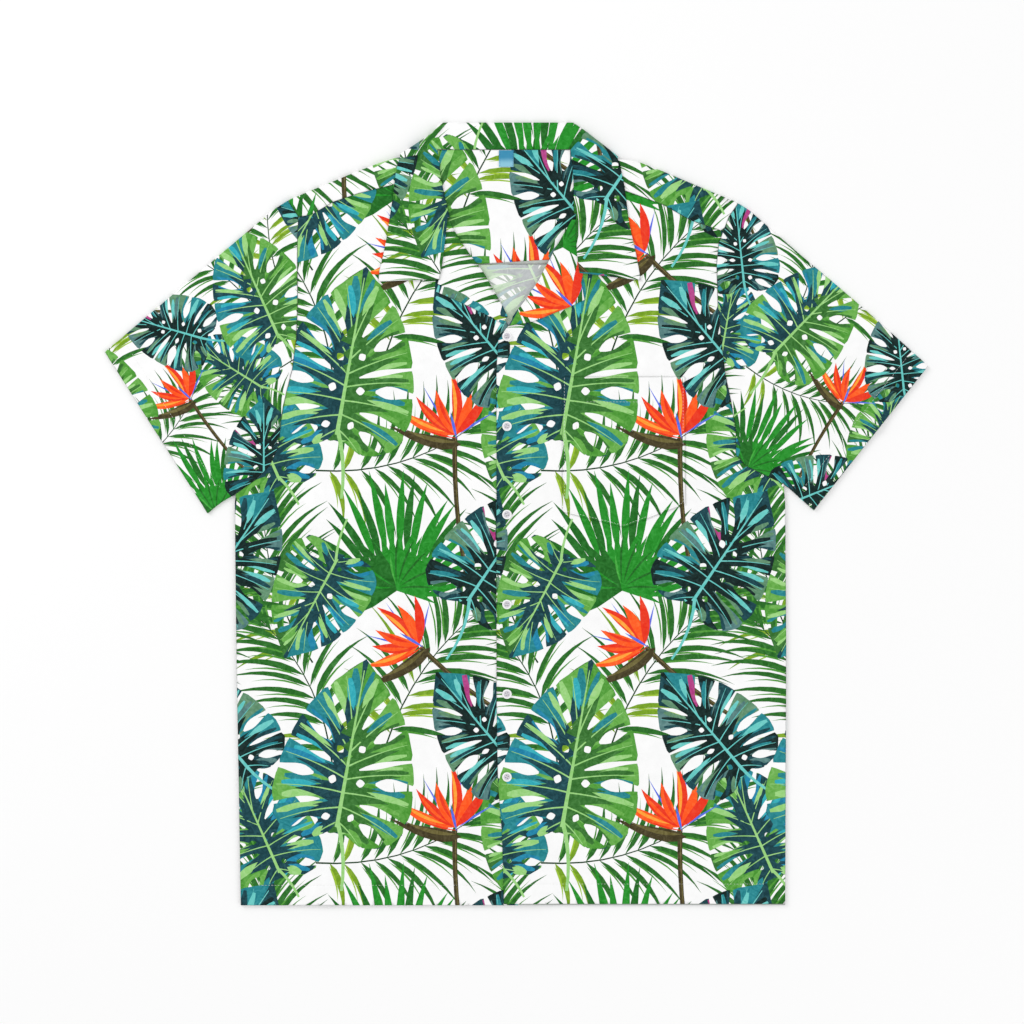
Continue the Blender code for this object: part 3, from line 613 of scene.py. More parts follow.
# %% Crease table
CREASES = (     # middle x, middle y, direction in degrees, length, width, rise (a trough is below 0)
    (-205, 380, 62, 170, 20, 1.27), (-188, 352, 58, 130, 16, -0.5), (-240, 300, 74, 150, 18, 1.02),
    (-120, 120, 97, 210, 22, 1.19), (-60, 260, 104, 190, 18, -0.44), (-150, 500, 118, 160, 18, 1.02),
    (-100, 470, 80, 200, 24, 0.85), (-180, 60, 86, 120, 20, 1.02), (-40, 90, 92, 140, 16, 0.77),
    (-75, 600, 66, 120, 18, 0.68), (210, 372, 118, 180, 20, 1.27), (190, 330, 122, 120, 15, -0.5),
    (245, 250, 100, 160, 18, 1.02), (95, 140, 84, 220, 22, 1.1), (150, 80, 95, 150, 18, -0.44),
    (60, 260, 78, 170, 18, 0.85), (215, 60, 92, 130, 22, 1.02), (40, 480, 96, 150, 16, 0.68),
    (200, 560, 112, 130, 18, 0.85), (105, 590, 60, 110, 16, 0.68), (-310, 520, 42, 130, 18, 1.36),
    (-330, 590, 38, 110, 16, -0.5), (-275, 470, 66, 110, 15, 1.19), (-350, 500, 54, 90, 14, 0.85),
    (-270, 600, 30, 120, 18, 0.85), (325, 520, 138, 130, 18, 1.36), (350, 575, 144, 100, 16, -0.5),
    (285, 470, 112, 110, 15, 1.19), (370, 480, 124, 90, 14, 0.85), (285, 590, 148, 110, 18, 0.85),
)
TROUGH_LIMIT = -0.5         # the lowest that the cloth may sink, clear of the layer below
BUTTON_LINE, BUTTON_CALM, COLLAR_CALM = 1.0, (10.0, 40.0), (600.0, 670.0)


def soft_step(value, low, high):
    t = np.clip((value - low) / (high - low), 0.0, 1.0)
    return t * t * (3 - 2 * t)


def crease_rise(x, y):
    rise = np.zeros_like(x)
    for middle_x, middle_y, direction, length, width, height in CREASES:
        c, s = heading(direction)
        along = (x - middle_x) * c + (y - middle_y) * s
        across = (y - middle_y) * c - (x - middle_x) * s
        across = across + 0.05 * along * np.sin(along / (0.3 * length))
        rise += height * np.exp(-(across / (0.5 * width)) ** 2 - (along / (0.5 * length)) ** 4)
    free = soft_step(np.abs(x - BUTTON_LINE), *BUTTON_CALM) * (1 - soft_step(y, *COLLAR_CALM))
    return np.maximum(rise * free, TROUGH_LIMIT)


# %% [markdown]
# ## Rows of stitches
#
# A seam pulls the cloth down a little along its thread and puckers it softly on both sides, so the
# rows are planned before the cloth is cut. Each row follows the border of its piece at a set
# distance: a turned hem is wide, a topstitched edge narrow. The table says which stretch of the
# border a row follows, as a box in plan.

# %% Plan the rows
ROWS = (    # piece, side, distance from the border, the box's lowest and highest corner
    ("front_right", UP, 20.0, (-270.0, -1.0), (12.0, 1.6)),
    ("front_left", UP, 20.0, (-12.0, -1.0), (280.0, 3.0)),
    ("back", DOWN, 20.0, (-275.0, -1.0), (280.0, 1.6)),
    ("sleeve_right", UP, 22.0, (-403.0, 390.0), (-297.0, 554.0)),
    ("sleeve_right", DOWN, 22.0, (-403.0, 390.0), (-297.0, 554.0)),
    ("sleeve_left", UP, 22.0, (305.0, 393.0), (422.0, 540.0)),
    ("sleeve_left", DOWN, 22.0, (305.0, 393.0), (422.0, 540.0)),
    ("pocket", UP, 2.0, (50.0, 370.0), (180.0, 527.0)),
    ("pocket", UP, 25.0, (58.0, 527.0), (175.0, 529.0)),
    ("yoke", DOWN, 2.2, (-220.0, 640.0), (232.0, 642.0)),
    ("neck_label", UP, 1.0, (-9.0, 738.6), (-7.9, 753.0)),
    ("neck_label", UP, 1.0, (6.4, 738.6), (7.0, 753.0)),
)
EDGE_STEP = 4.0                     # distance between the points along an edge
ROW_GAP, ROW_SLACK = 16.0, 0.93     # a longer gap ends a row; no spot is nearer than this share
DIP, DIP_WIDTH = 0.15, 0.9          # how deep and how wide a thread sinks in
PUCKER, PUCKER_RUN, PUCKER_REACH = 0.045, 9.0, 6.0
ROW_REACH = 20.0                    # farther off, a row leaves the cloth alone


def split_edge(start, end):
    count = max(1, math.ceil(norm(end - start) / EDGE_STEP))
    return [start + (end - start) * k / count for k in range(count)]


def inward(start, end, way):
    """The plan direction from a border's run into the cloth."""
    return left_of((end - start) / max(norm(end - start), TINY) * way)


def run_set(triangles):
    return set(map(tuple, runs_of(triangles).tolist()))


def off_segment(spots, a, b):
    """How far along a segment, as a share, and how far off it each spot is."""
    run = b - a
    t = np.clip(((spots - a) @ run) / max(run @ run, TINY), 0, 1)
    return t, norm(spots - a - t[:, None] * run, axis=1)


def far_from(spots, segments):
    """Plan distance of each spot from the nearest of some segments."""
    nearest = np.full(len(spots), FAR)
    for a, b in segments:
        nearest = np.minimum(nearest, off_segment(spots, a, b)[1])
    return nearest


def within(spots, low, high):
    """The numbers of the spots in a box."""
    return np.flatnonzero(((spots > low) & (spots < high)).all(axis=1))


def stitch_rows(name, way, points, skin, half):
    """The plan lines of a piece's rows on one side; half is that side of its skin."""
    runs = run_set(skin)
    follow = dict(sorted(run for run in run_set(half) if run[::-1] not in runs))
    segments = [(points[a, :2], points[b, :2]) for a, b in follow.items()]
    lines = []
    for inset, low, high in (row[2:] for row in ROWS if row[:2] == (name, way)):
        rest = dict(follow)
        while rest:
            at, line = next(iter(rest)), []
            while at in rest:
                to = rest.pop(at)
                a, b = points[at, :2], points[to, :2]
                steps = split_edge(a, b) + [b]
                middles = [0.5 * (p + q) for p, q in zip(steps, steps[1:])]
                line += [spot + inset * inward(a, b, way) for spot in middles
                         if (spot >= low).all() and (spot <= high).all()]
                at = to
            if not line:
                continue
            line = np.array(line)
            line = line[far_from(line, segments) > ROW_SLACK * inset]
            breaks = np.flatnonzero(norm(np.diff(line, axis=0), axis=1) > ROW_GAP) + 1
            lines += [part for part in np.split(line, breaks) if len(part) > 2]
    return lines


def row_relief(lines, x, y):
    """Height of the cloth near its rows: a narrow dip and soft puckers."""
    spots = np.stack([x, y], axis=1)
    relief = np.zeros(len(spots))
    for line in lines:
        near = within(spots, line.min(axis=0) - ROW_REACH, line.max(axis=0) + ROW_REACH)
        best, walked, so_far = np.full(len(near), FAR), np.zeros(len(near)), 0.0
        for a, b in zip(line, line[1:]):
            t, far = off_segment(spots[near], a, b)
            closer = far < best
            best[closer], walked[closer] = far[closer], (so_far + t * norm(b - a))[closer]
            so_far += norm(b - a)
        wave = PUCKER * np.sin(2 * math.pi * walked / PUCKER_RUN + 1.7 * np.sin(walked / 23.0))
        relief[near] += wave * np.exp(-(best / PUCKER_REACH) ** 2) - DIP * np.exp(-(best / DIP_WIDTH) ** 2)
    return relief


# %% [markdown]
# ## Laying the print on a skin
#
# Seen in plan, each side of a skin is a flat shape. Its outline, a net of points and the outlines of
# all the motifs go into one triangulation, and each triangle takes the topmost ink over it. Most of
# those edges then lie hidden under other motifs. So the shape is triangulated once more, with only
# the edges where the ink changes, and the colours end exactly where the drawing does.

# %% Placing motifs and finding inks
MOTIF_REACH = 170.0     # no part of a motif is farther from its middle
BARE, FAINT = -1, -2    # no ink, and the even tone of a wrong side that nobody sees


def box_of(motif):
    spots = np.concatenate([outline for _, outline in motif])
    return spots.min(axis=0), spots.max(axis=0)


def placed_motifs(low, high, shift, turn, scale):
    """All motifs of a print that reach into a box, as lists of (ink, outline), lowest first."""
    corners = np.array([(x, y) for x in (low[0], high[0]) for y in (low[1], high[1])])
    tile = turned(corners - shift, -turn) / scale
    placed = []
    for name, at, motif_turn in REPEAT_TABLE:
        middle, shapes = MOTIFS[name]
        first = np.floor((tile.min(axis=0) - MOTIF_REACH - at) / REPEAT)
        last = np.ceil((tile.max(axis=0) + MOTIF_REACH - at) / REPEAT)
        for steps in itertools.product(*map(np.arange, first, last + 1)):
            motif = []
            for ink, outline in shapes:
                on_tile = turned(outline - (0, middle), motif_turn) + (at + steps * REPEAT)
                motif.append((ink, turned(on_tile * scale, turn) + shift))
            motif_low, motif_high = box_of(motif)
            if (motif_high > low).all() and (motif_low < high).all():
                placed.append(motif)
    return placed


def inside(points, outline):
    x, y = points[:, 0][:, None], points[:, 1][:, None]
    x0, y0 = outline.T
    x1, y1 = np.roll(outline, -1, axis=0).T
    over = (y0 > y) != (y1 > y)
    with np.errstate(divide="ignore", invalid="ignore"):
        crossed = over & (x < (x1 - x0) * (y - y0) / (y1 - y0) + x0)
    return crossed.sum(axis=1) % 2 == 1


def inks_at(spots, motifs):
    """Number of the topmost ink at each spot."""
    found = np.full(len(spots), BARE)
    for motif in motifs:
        near = within(spots, *box_of(motif))
        own = np.full(len(near), BARE)
        for ink, outline in motif:
            close = within(spots[near], outline.min(axis=0), outline.max(axis=0))
            own[close[inside(spots[near[close]], outline)]] = INK_NUMBERS.get(ink, BARE)
        found[near[own >= 0]] = own[own >= 0]
    return found


# %% Plan of a side
NET = 8.0               # distance between the points that carry the creases
NET_ROWS = 0.866        # of it, between their rows
CLEAR = 0.3             # none of them is closer to an edge than this
LEVEL, SLOPE = 0.97, 0.2        # an edge is a bend if its normals lean more, or if it climbs more
EDGE_RINGS = (1.1, 3.0)
ROW_RINGS = (-6.0, -2.6, -0.9, 0.0, 0.9, 2.6, 6.0)


def triangles_at(spots, flat, triangles):
    """The number of the triangle at each plan spot."""
    tree = BVHTree.FromPolygons([(x, y, 0.0) for x, y in flat], triangles.tolist())
    return [tree.find_nearest((x, y, 0.0))[2] for x, y in spots]


def heights_at(spots, points, side, normals):
    """Heights and normals of a side at plan spots."""
    corners = side[triangles_at(spots, points[:, :2], side)]
    a, b, c = (points[corners[:, k], :2] for k in range(3))

    def crossed(first, second):
        return first[:, 0] * second[:, 1] - first[:, 1] * second[:, 0]

    whole_area = crossed(b - a, c - a)
    third, second = crossed(b - a, spots - a) / whole_area, crossed(spots - a, c - a) / whole_area
    shares = np.clip(np.stack([1 - second - third, second, third], axis=1), 0, 1)
    shares /= shares.sum(axis=1)[:, None]
    return (shares * points[corners, 2]).sum(axis=1), (shares[:, :, None] * normals[corners]).sum(axis=1)


def outline_of(points, skin, side, normals, way):
    """Outline spots and edges of a side, the folds among them, and spots along its real borders."""
    owned, runs = run_set(skin), run_set(side)
    spots, edges, rings, folds = [], [], [], []
    for start, end in sorted(runs):
        a, b = points[start, :2], points[end, :2]
        if (end, start) in runs:
            slope = abs(points[start, 2] - points[end, 2]) / max(norm(b - a), 1e-6)
            bend = min(abs(normals[start, 2]), abs(normals[end, 2])) < LEVEL or slope > SLOPE
            if start < end and bend:
                rings += split_edge(a, b)
            continue
        first = len(spots)
        spots += split_edge(a, b) + [b]
        edges += [(k, k + 1) for k in range(first, len(spots) - 1)]
        if (end, start) in owned:
            folds.append((a, b))
        else:
            rings += [spot + inward(a, b, way) * far for spot in spots[first:-1] for far in EDGE_RINGS]
    return np.array(spots), edges, np.array(rings).reshape(-1, 2), folds


def net_over(low, high):
    x, y = np.meshgrid(np.arange(low[0], high[0], NET), np.arange(low[1], high[1], NET * NET_ROWS))
    x = x + (np.arange(x.shape[0]) % 2)[:, None] * 0.5 * NET
    return np.stack([x.ravel(), y.ravel()], axis=1)


# %% Triangulating with given edges
WELD = 1e-3             # spots closer than this are one


def compact(places, numbers):
    """Only the places that are used, and the numbers that they then have."""
    used, renumbered = np.unique(numbers, return_inverse=True)
    return places[used], renumbered.reshape(numbers.shape)


def triangulate(spots, edges, outline):
    """Spots and triangles with the given edges kept, none outside the first edges, the outline."""
    made = delaunay_2d_cdt([tuple(spot) for spot in spots], edges, [], 0, WELD, True)
    flat, triangles = np.array(made[0]), np.array(made[2])
    walls = np.array([edge for edge, given in zip(made[1], made[4]) if given and min(given) < outline])
    sides, count, owners = owners_of(triangles)
    shut = np.isin(sides @ (len(flat), 1), np.sort(walls, axis=1) @ (len(flat), 1))
    kept = np.ones(len(triangles), dtype=int)
    kept[owners[(count == 1) & ~shut, 1]] = 0
    return compact(flat, triangles[spread(kept, owners[(count == 2) & ~shut]) == 1])


def changes_of(triangles, inks):
    """The edges where the ink changes."""
    edges, place, _ = tally(runs_of(triangles))
    low, high = np.full(len(edges), len(INKS)), np.full(len(edges), FAINT)
    np.minimum.at(low, place, np.tile(inks, 3))
    np.maximum.at(high, place, np.tile(inks, 3))
    return edges[low != high]


# %% Cutting one side of a skin
FLAT = 1e-4                         # a triangle with less area than this in plan stands upright
FOLD_CALM = 1.0, 14.0               # creases fade in at these distances from a fold
SLOPE_STEP = 0.4
SEEN_INSIDE = {"back": 540.0}       # pieces whose wrong side shows, and from which height on

rows_on = []                        # (piece, way, plan line) of every row of stitches


def cut_side(points, skin, normals, way, motifs, name):
    """The outer and the inner cloth of the side of a skin that faces up or down."""
    side = skin[way * face_normals(points, skin)[:, 2] > FLAT]
    if not len(side):
        return None
    lines = stitch_rows(name, way, points, skin, side)
    rows_on.extend((name, way, line) for line in lines)
    spots, edges, rings, folds = outline_of(points, skin, side, normals, way)
    low, high = spots.min(axis=0), spots.max(axis=0)
    beside = [rings]
    for line in lines:
        across = left_of(unit_rows(np.gradient(line, axis=0)))
        beside += [line + far * across for far in ROW_RINGS]
    border = [(spots[a], spots[b]) for a, b in edges]
    net, beside = (loose[far_from(loose, border) > CLEAR]
                   for loose in (net_over(low, high), np.concatenate(beside)))

    drawn, drawn_edges, count = [spots], list(edges), len(spots)
    for _, outline in itertools.chain(*motifs):
        after = np.roll(outline, -1, axis=0)
        over = ((np.minimum(outline, after) < high + 1) & (np.maximum(outline, after) > low - 1)).all(axis=1)
        if over.any():
            drawn.append(outline)
            drawn_edges += [(count + k, count + (k + 1) % len(outline)) for k in np.flatnonzero(over)]
            count += len(outline)
    flat, triangles = triangulate(np.concatenate(drawn), drawn_edges, len(edges))
    inks = inks_at(flat[triangles].mean(axis=1), motifs)

    def inks_over(spots, parts):
        return inks[triangles_at(spots[parts].mean(axis=1), flat, triangles)]

    ink_spots, ink_edges = compact(flat, changes_of(triangles, inks))
    ink_edges = list(edges) + (len(spots) + ink_edges).tolist()
    outer, outer_parts = triangulate(np.concatenate([spots, ink_spots, net, beside]), ink_edges, len(edges))
    outer_inks = inks_over(outer, outer_parts)
    rim, rim_edges = compact(outer, tally(rim_of(outer_parts))[0])
    inner_spots, inner_edges = [rim, net], rim_edges.tolist()
    if name in SEEN_INSIDE:
        seen = changes_of(outer_parts, outer_inks)
        seen = seen[(outer[seen, 1] > SEEN_INSIDE[name]).any(axis=1)]
        seen_spots, seen_edges = compact(outer, seen)
        inner_edges += (len(rim) + len(net) + seen_edges).tolist()
        inner_spots += [seen_spots, beside[beside[:, 1] > SEEN_INSIDE[name]]]
    inner, inner_parts = triangulate(np.concatenate(inner_spots), inner_edges, len(rim_edges))
    inner_inks = np.full(len(inner_parts), FAINT)
    if name in SEEN_INSIDE:
        seen = inner[inner_parts, 1].min(axis=1) >= SEEN_INSIDE[name] - 2 * NET
        inner_inks[seen] = inks_over(inner, inner_parts)[seen]

    def raised(flat, parts, part_inks):
        fade = soft_step(far_from(flat, folds), *FOLD_CALM) if way == UP else 0.0

        def relief(x, y):
            return way * row_relief(lines, x, y) + fade * crease_rise(x, y)

        x, y = flat.T
        heights, ways = heights_at(flat, points, side, normals)
        for axis, (dx, dy) in enumerate(np.eye(2) * SLOPE_STEP):
            ways[:, axis] -= way * (relief(x + dx, y + dy) - relief(x - dx, y - dy)) / (2 * SLOPE_STEP)
        return np.column_stack([flat, heights + relief(x, y)]), unit_rows(ways), parts[:, ::way], part_inks

    return raised(outer, outer_parts, outer_inks), raised(inner, inner_parts, inner_inks)


# %% [markdown]
# ## Closing the cloth
#
# The printed skin gets a second skin inside, a wall's thickness below it, and a rim. The ink shows
# only faintly on the wrong side of the cloth. Edges of real panels are turned in and pressed, so the
# rim is rounded by leaning its normals outwards.

# %% Skins and rims
THICKNESS, COLLAR_THICKNESS, LABEL_THICKNESS = 0.9, 1.3, 0.5
EDGE_DROP = 0.22            # how far the cloth rolls down at an edge
EDGE_LEAN = 0.9
MERGE = 0.02                # spots on a fold closer than this are one


def rim_finder(places, rim):
    finder = KDTree(rim.size)
    for number in np.unique(rim):
        finder.insert(places[number], int(number))
    finder.balance()
    return finder


def joined(sides):
    """The two sides of a skin as one, sewn together along their folds."""
    places, ways, triangles, inks = sides[0]
    for more_places, more_ways, more_triangles, more_inks in sides[1:]:
        finder = rim_finder(places, rim_of(triangles))
        number = np.arange(len(more_places)) + len(places)
        for own in np.unique(rim_of(more_triangles)):
            _, other, far = finder.find(more_places[own])
            if far < MERGE:
                number[own] = other
        triangles = np.concatenate([triangles, number[more_triangles]])
        places = np.concatenate([places, more_places])
        ways = np.concatenate([ways, more_ways])
        inks = np.concatenate([inks, more_inks])
    _, place, count = tally(triangles)
    good = whole(triangles) & (count[place] == 1)   # a sliver on the fold would lie in both sides
    used, triangles = np.unique(triangles[good], return_inverse=True)
    return places[used], ways[used], triangles.reshape(-1, 3), inks[good]


def shell(skin, far, edge_far, turn):
    """A skin's places, moved in, its normals, leaning out at the rim, the rim, and what is on it."""
    places, ways, triangles, _ = skin
    rim = rim_of(triangles)
    out = np.zeros_like(places)
    lean = np.cross(places[rim[:, 1]] - places[rim[:, 0]], ways[rim[:, 0]] + ways[rim[:, 1]])
    np.add.at(out, rim[:, 0], lean)
    np.add.at(out, rim[:, 1], lean)
    size = norm(out, axis=1)
    on_rim = size > TINY
    out[on_rim] /= size[on_rim][:, None]
    moved = places - ways * np.where(on_rim, edge_far, far)[:, None]
    return moved, turn * ways + EDGE_LEAN * out, rim, on_rim


# %% Making a piece of cloth
WRONG_SIDE = 0.53           # how far the print is washed out on the wrong side
FAINT_TONE = (226, 232, 226)
PALETTE = np.array([linear(colour) for colour in (*INKS.values(), FAINT_TONE, CLOTH_WHITE)])
WASHED = PALETTE + (PALETTE[BARE] - PALETTE) * WRONG_SIDE
WASHED[FAINT] = PALETTE[FAINT]

skins = {}                  # the outer skin of each piece, for what is sewn on it


def metres(places):
    return (places - ORIGIN) * MM


def cloth_piece(name, side, layout, thickness):
    """A printed piece of cloth, or a plain one where layout is None."""
    points, skin, normals = printed_skin(name, side)
    low, high = points[:, :2].min(axis=0), points[:, :2].max(axis=0)
    motifs = placed_motifs(low, high, *layout) if layout else []
    sides = [cut_side(points, skin, normals, way, motifs, name) for way in (UP, DOWN)]
    outer, inner = map(joined, zip(*filter(None, sides)))
    top, top_ways, top_rim, on_top = shell(outer, 0.0, EDGE_DROP, 1)
    bottom, bottom_ways, bottom_rim, on_bottom = shell(inner, thickness, thickness - EDGE_DROP, -1)
    finder = rim_finder(inner[0], bottom_rim)
    below = {number: len(top) + finder.find(outer[0][number])[1] for number in np.unique(top_rim)}
    rim_faces = [(a, *dict.fromkeys((below[a], below[b])), b) for a, b in top_rim.tolist()]
    faces = outer[2].tolist() + (inner[2][:, ::-1] + len(top)).tolist() + rim_faces

    mesh = bpy.data.meshes.new(name + "_cloth")
    mesh.from_pydata(metres(np.concatenate([top, bottom])).tolist(), [], faces)
    white = np.tile(PALETTE[BARE], (len(rim_faces), 1))
    tones = np.concatenate([PALETTE[outer[3]], WASHED[inner[3]], white])
    tones = np.repeat(tones, values_of(mesh.polygons, "loop_total", kind=int), axis=0)
    mesh.color_attributes.new("ink", "BYTE_COLOR", "CORNER").data.foreach_set("color", tones.ravel())
    # painted shade: rim points are marked in the edge attribute, and the cloth's material darkens them
    edge = np.concatenate([on_top, on_bottom]).astype(float)
    mesh.attributes.new("edge", "FLOAT", "POINT").data.foreach_set("value", edge)
    mesh.shade_smooth()
    mesh.normals_split_custom_set_from_vertices(unit_rows(np.concatenate([top_ways, bottom_ways])).tolist())
    grain = turned(np.concatenate([outer[0], inner[0]])[:, :2], -layout[1] if layout else 0.0) * MM
    grain = grain[values_of(mesh.loops, "vertex_index", kind=int)]
    mesh.uv_layers.new(name="grain").data.foreach_set("uv", grain.ravel())

    skins[name] = BVHTree.FromPolygons(top.tolist(), outer[2].tolist())
    piece = show(name + "_cloth", mesh)
    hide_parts(name)
    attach(piece, body)
    area = 0.5 * norm(face_normals(outer[0], outer[2]), axis=1).sum()
    odd = (np.bincount(values_of(mesh.loops, "edge_index", kind=int)) != 2).sum()
    print(f"{name}: {len(outer[2])} + {len(inner[2])} triangles, {area / 100:.0f} cm2, odd edges {odd}")
    return piece, area * MM * MM


# %% Printed cloth
WEAVE_PITCH = 0.00042       # metres
PAINTED_EDGE_SHADE = 0.42           # how much painted shade darkens the cloth along the rims of each piece, like a thin contact shadow
THREAD_GLINT = 0.012        # how much the weave lightens the ink towards white: partly painted glint on the thread crowns, partly the white thread showing through


def cloth_finish():
    finish = Finish("printed_weave", Roughness=0.9, Specular_IOR_Level=0.05)
    across, along, _ = finish.parts(finish.node("ShaderNodeUVMap", {"uv_map": "grain"}))
    weave = across.wave(WEAVE_PITCH) * along.wave(WEAVE_PITCH) * 0.5 + 0.5
    place = finish.place()
    strokes = finish.noise(place, 130.0, 4.0, twist=2.2) * 0.9 + 0.6
    painted = finish.node("ShaderNodeGamma", {}, {"Color": finish.attribute("ink"), "Gamma": strokes})
    # partly painted glint: the weave's crowns are mixed towards white, which also stands for white thread
    # under the ink
    glinting = finish.mix(weave * THREAD_GLINT, painted, WHITE)
    edge = finish.attribute("edge", 2)
    tone = finish.noise(place, 90.0, 3.0) * 0.10 + finish.noise(place, 14.0) * 0.05 + 0.91
    # painted shade: the cloth is darkened towards the rims of each piece, a thin dark line like a contact
    # shadow
    tone = tone * (1 - edge * edge * PAINTED_EDGE_SHADE)
    height = finish.noise(place, 26.0, 3.0, 0.55) * 0.00035 + weave * 0.00003
    return finish.paint({
        "Base Color": finish.node("ShaderNodeVectorMath", {"operation": "SCALE"}, {0: glinting, 3: tone}),
        "Normal": finish.bump(height, 0.6)})


# %% [markdown]
# ## The pieces
#
# Each piece is cut from the same printed cloth but from its own place on it, so the print breaks at
# the seams. The patch pocket is the exception: it is matched to the front.

# %% Cut and lay the pieces
FRONT_RIGHT_PRINT = (-227.0, -150.0), 0.0, 1.0
FRONT_LEFT_PRINT = (-2.0, -150.0), 0.0, 1.0
PIECES = (  # node, printed side, its place on the print (shift, turn, scale), flat size, held, rests on
    ("back", DOWN, ((40.0, 25.0), 0.0, 1.0), 551.0, 641.0, "laid", "floor"),
    ("yoke", ROUND, ((-70.0, 140.0), 0.0, 1.0), 448.0, 160.0, "folded", "floor"),
    ("inner_yoke", UP, ((-150.0, 385.0), 0.0, 1.0), 396.0, 114.0, "laid", "yoke"),
    ("front_right", UP, FRONT_RIGHT_PRINT, 283.0, 728.0, "laid", "back"),
    ("front_left", UP, FRONT_LEFT_PRINT, 290.0, 724.0, "laid", "back"),
    ("facing_right", UP, ((-200.0, 210.0), 14.0, 1.0), 127.0, 45.0, "folded", "front_right"),
    ("facing_left", UP, ((90.0, 170.0), -14.0, 1.0), 130.0, 47.0, "folded", "front_left"),
    ("collar", ROUND, ((-90.0, 250.0), 0.0, 1.0), 340.0, 110.0, "folded", "inner_yoke"),
    ("sleeve_right", ROUND, ((-330.0, 300.0), 34.0, 0.72), 441.0, 236.0, "folded", "floor"),
    ("sleeve_left", ROUND, ((300.0, 330.0), -34.0, 0.72), 405.0, 250.0, "folded", "floor"),
    ("pocket", UP, FRONT_LEFT_PRINT, 123.0, 151.0, "laid", "front_left"),
)
printed_cloth = cloth_finish()
for name, side, layout, width, length, held, under in PIECES:
    piece, area = cloth_piece(name, side, layout, COLLAR_THICKNESS if name == "collar" else THICKNESS)
    piece.data.materials.append(printed_cloth)


# %% [markdown]
# ## Neck label
#
# The label is a short piece of blue satin ribbon, plain, sewn down at both ends. Its ribs run across
# it, and the satin is smoother than the shirt.

# %% Label
def label_finish():
    finish = Finish("label_satin", Roughness=0.45, Specular_IOR_Level=0.3, Sheen_Weight=0.05)
    place = finish.place()
    _, along, _ = finish.parts(place)
    ribs = along.wave(0.0006) * 0.5 + 0.5
    low, high = (corner[1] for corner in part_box("neck_label"))
    upper = along.climb(low + 0.18 * (high - low), low + 0.62 * (high - low))
    blue = finish.mix(upper, linear((132, 194, 216)), linear((4, 132, 172)))
    woven = finish.noise(place, 160.0, 3.0) * 0.06 + ribs * 0.04
    return finish.paint({"Base Color": finish.mix(woven, blue, linear((214, 234, 244))),
                         "Normal": finish.bump(ribs * 0.00006, 0.8)})


label, _ = cloth_piece("neck_label", UP, None, LABEL_THICKNESS)
label.data.materials.append(label_finish())


# %% [markdown]
# ## Stitches
#
# A stitch is a short plump bead of thread. A node tree walks along the planned rows, sets one bead
# every few millimetres along the thread's direction, and joins them into one mesh. The rows take
# their height from the cloth they are sewn in.

# %% A node tree that sews
SEAM_STITCH = {"Pitch": 3.2, "Stitch length": 2.5, "Thread width": 0.30, "Thread height": 0.26}
LABEL_STITCH = {**SEAM_STITCH, "Pitch": 2.0, "Stitch length": 1.5, "Thread width": 0.36}


def sewing_tree(material):
    tree = bpy.data.node_groups.new("sewing", "GeometryNodeTree")
    face, new = tree.interface, tree.nodes.new
    face.new_socket("Rows", in_out="INPUT", socket_type="NodeSocketGeometry")
    face.new_socket("Stitches", in_out="OUTPUT", socket_type="NodeSocketGeometry")
    sizes = {name: face.new_socket(name, socket_type="NodeSocketFloat") for name in SEAM_STITCH}
    given, result = new("NodeGroupInput"), new("NodeGroupOutput")
    spaced, bead = new("GeometryNodeResampleCurve"), new("GeometryNodeMeshUVSphere")
    measures, along = new("ShaderNodeCombineXYZ"), new("GeometryNodeInputTangent")
    lined, placed = new("FunctionNodeAlignRotationToVector"), new("GeometryNodeInstanceOnPoints")
    real, painted = new("GeometryNodeRealizeInstances"), new("GeometryNodeSetMaterial")
    spaced.mode = "LENGTH"
    lined.axis = "X"
    lined.pivot_axis = "Z"
    for node, socket, value in ((bead, "Segments", 6), (bead, "Rings", 4), (bead, "Radius", 0.5),
                                (painted, "Material", material)):
        node.inputs[socket].default_value = value
    for start, output, end, socket in (
        (given, "Rows", spaced, "Curve"), (given, "Pitch", spaced, "Length"),
        (given, "Stitch length", measures, "X"), (given, "Thread width", measures, "Y"),
        (given, "Thread height", measures, "Z"), (along, "Tangent", lined, "Vector"),
        (spaced, "Curve", placed, "Points"), (bead, "Mesh", placed, "Instance"),
        (lined, "Rotation", placed, "Rotation"), (measures, "Vector", placed, "Scale"),
        (placed, "Instances", real, "Geometry"), (real, "Geometry", painted, "Geometry"),
        (painted, "Geometry", result, "Stitches"),
    ):
        tree.links.new(start.outputs[output], end.inputs[socket])
    return tree, sizes


def thread_finish(name, colour):
    finish = Finish(name, Roughness=0.6, Sheen_Weight=0.2)
    x, y, _ = finish.parts(finish.place())
    twist = (x + y).wave(0.00035) * 0.5 + 0.5
    tone = linear(colour)
    darker = (*(0.72 * part for part in tone[:3]), 1.0)
    return finish.paint({"Base Color": finish.mix(twist * 0.6, tone, darker),
                         "Normal": finish.bump(twist * 0.00004, 0.7)})


def drawn(name, lines):
    """A curve through each line of places in garment millimetres."""
    curve = bpy.data.curves.new(name, "CURVE")
    curve.dimensions = "3D"
    for line in lines:
        spline = curve.splines.new("POLY")
        spline.points.add(len(line) - 1)
        spline.points.foreach_set("co", np.column_stack([metres(line), np.ones(len(line))]).ravel())
    return show(name + "_lines", curve)


def thread_piece(name, lines):
    """The finished shape of the drawn lines as a mesh of its own."""
    mesh = bpy.data.meshes.new_from_object(lines.evaluated_get(bpy.context.evaluated_depsgraph_get()))
    bpy.data.objects.remove(lines)
    mesh.shade_smooth()
    piece = show(name, mesh)
    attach(piece, body)
    print(f"{name}: {len(mesh.polygons)} faces")
    return piece


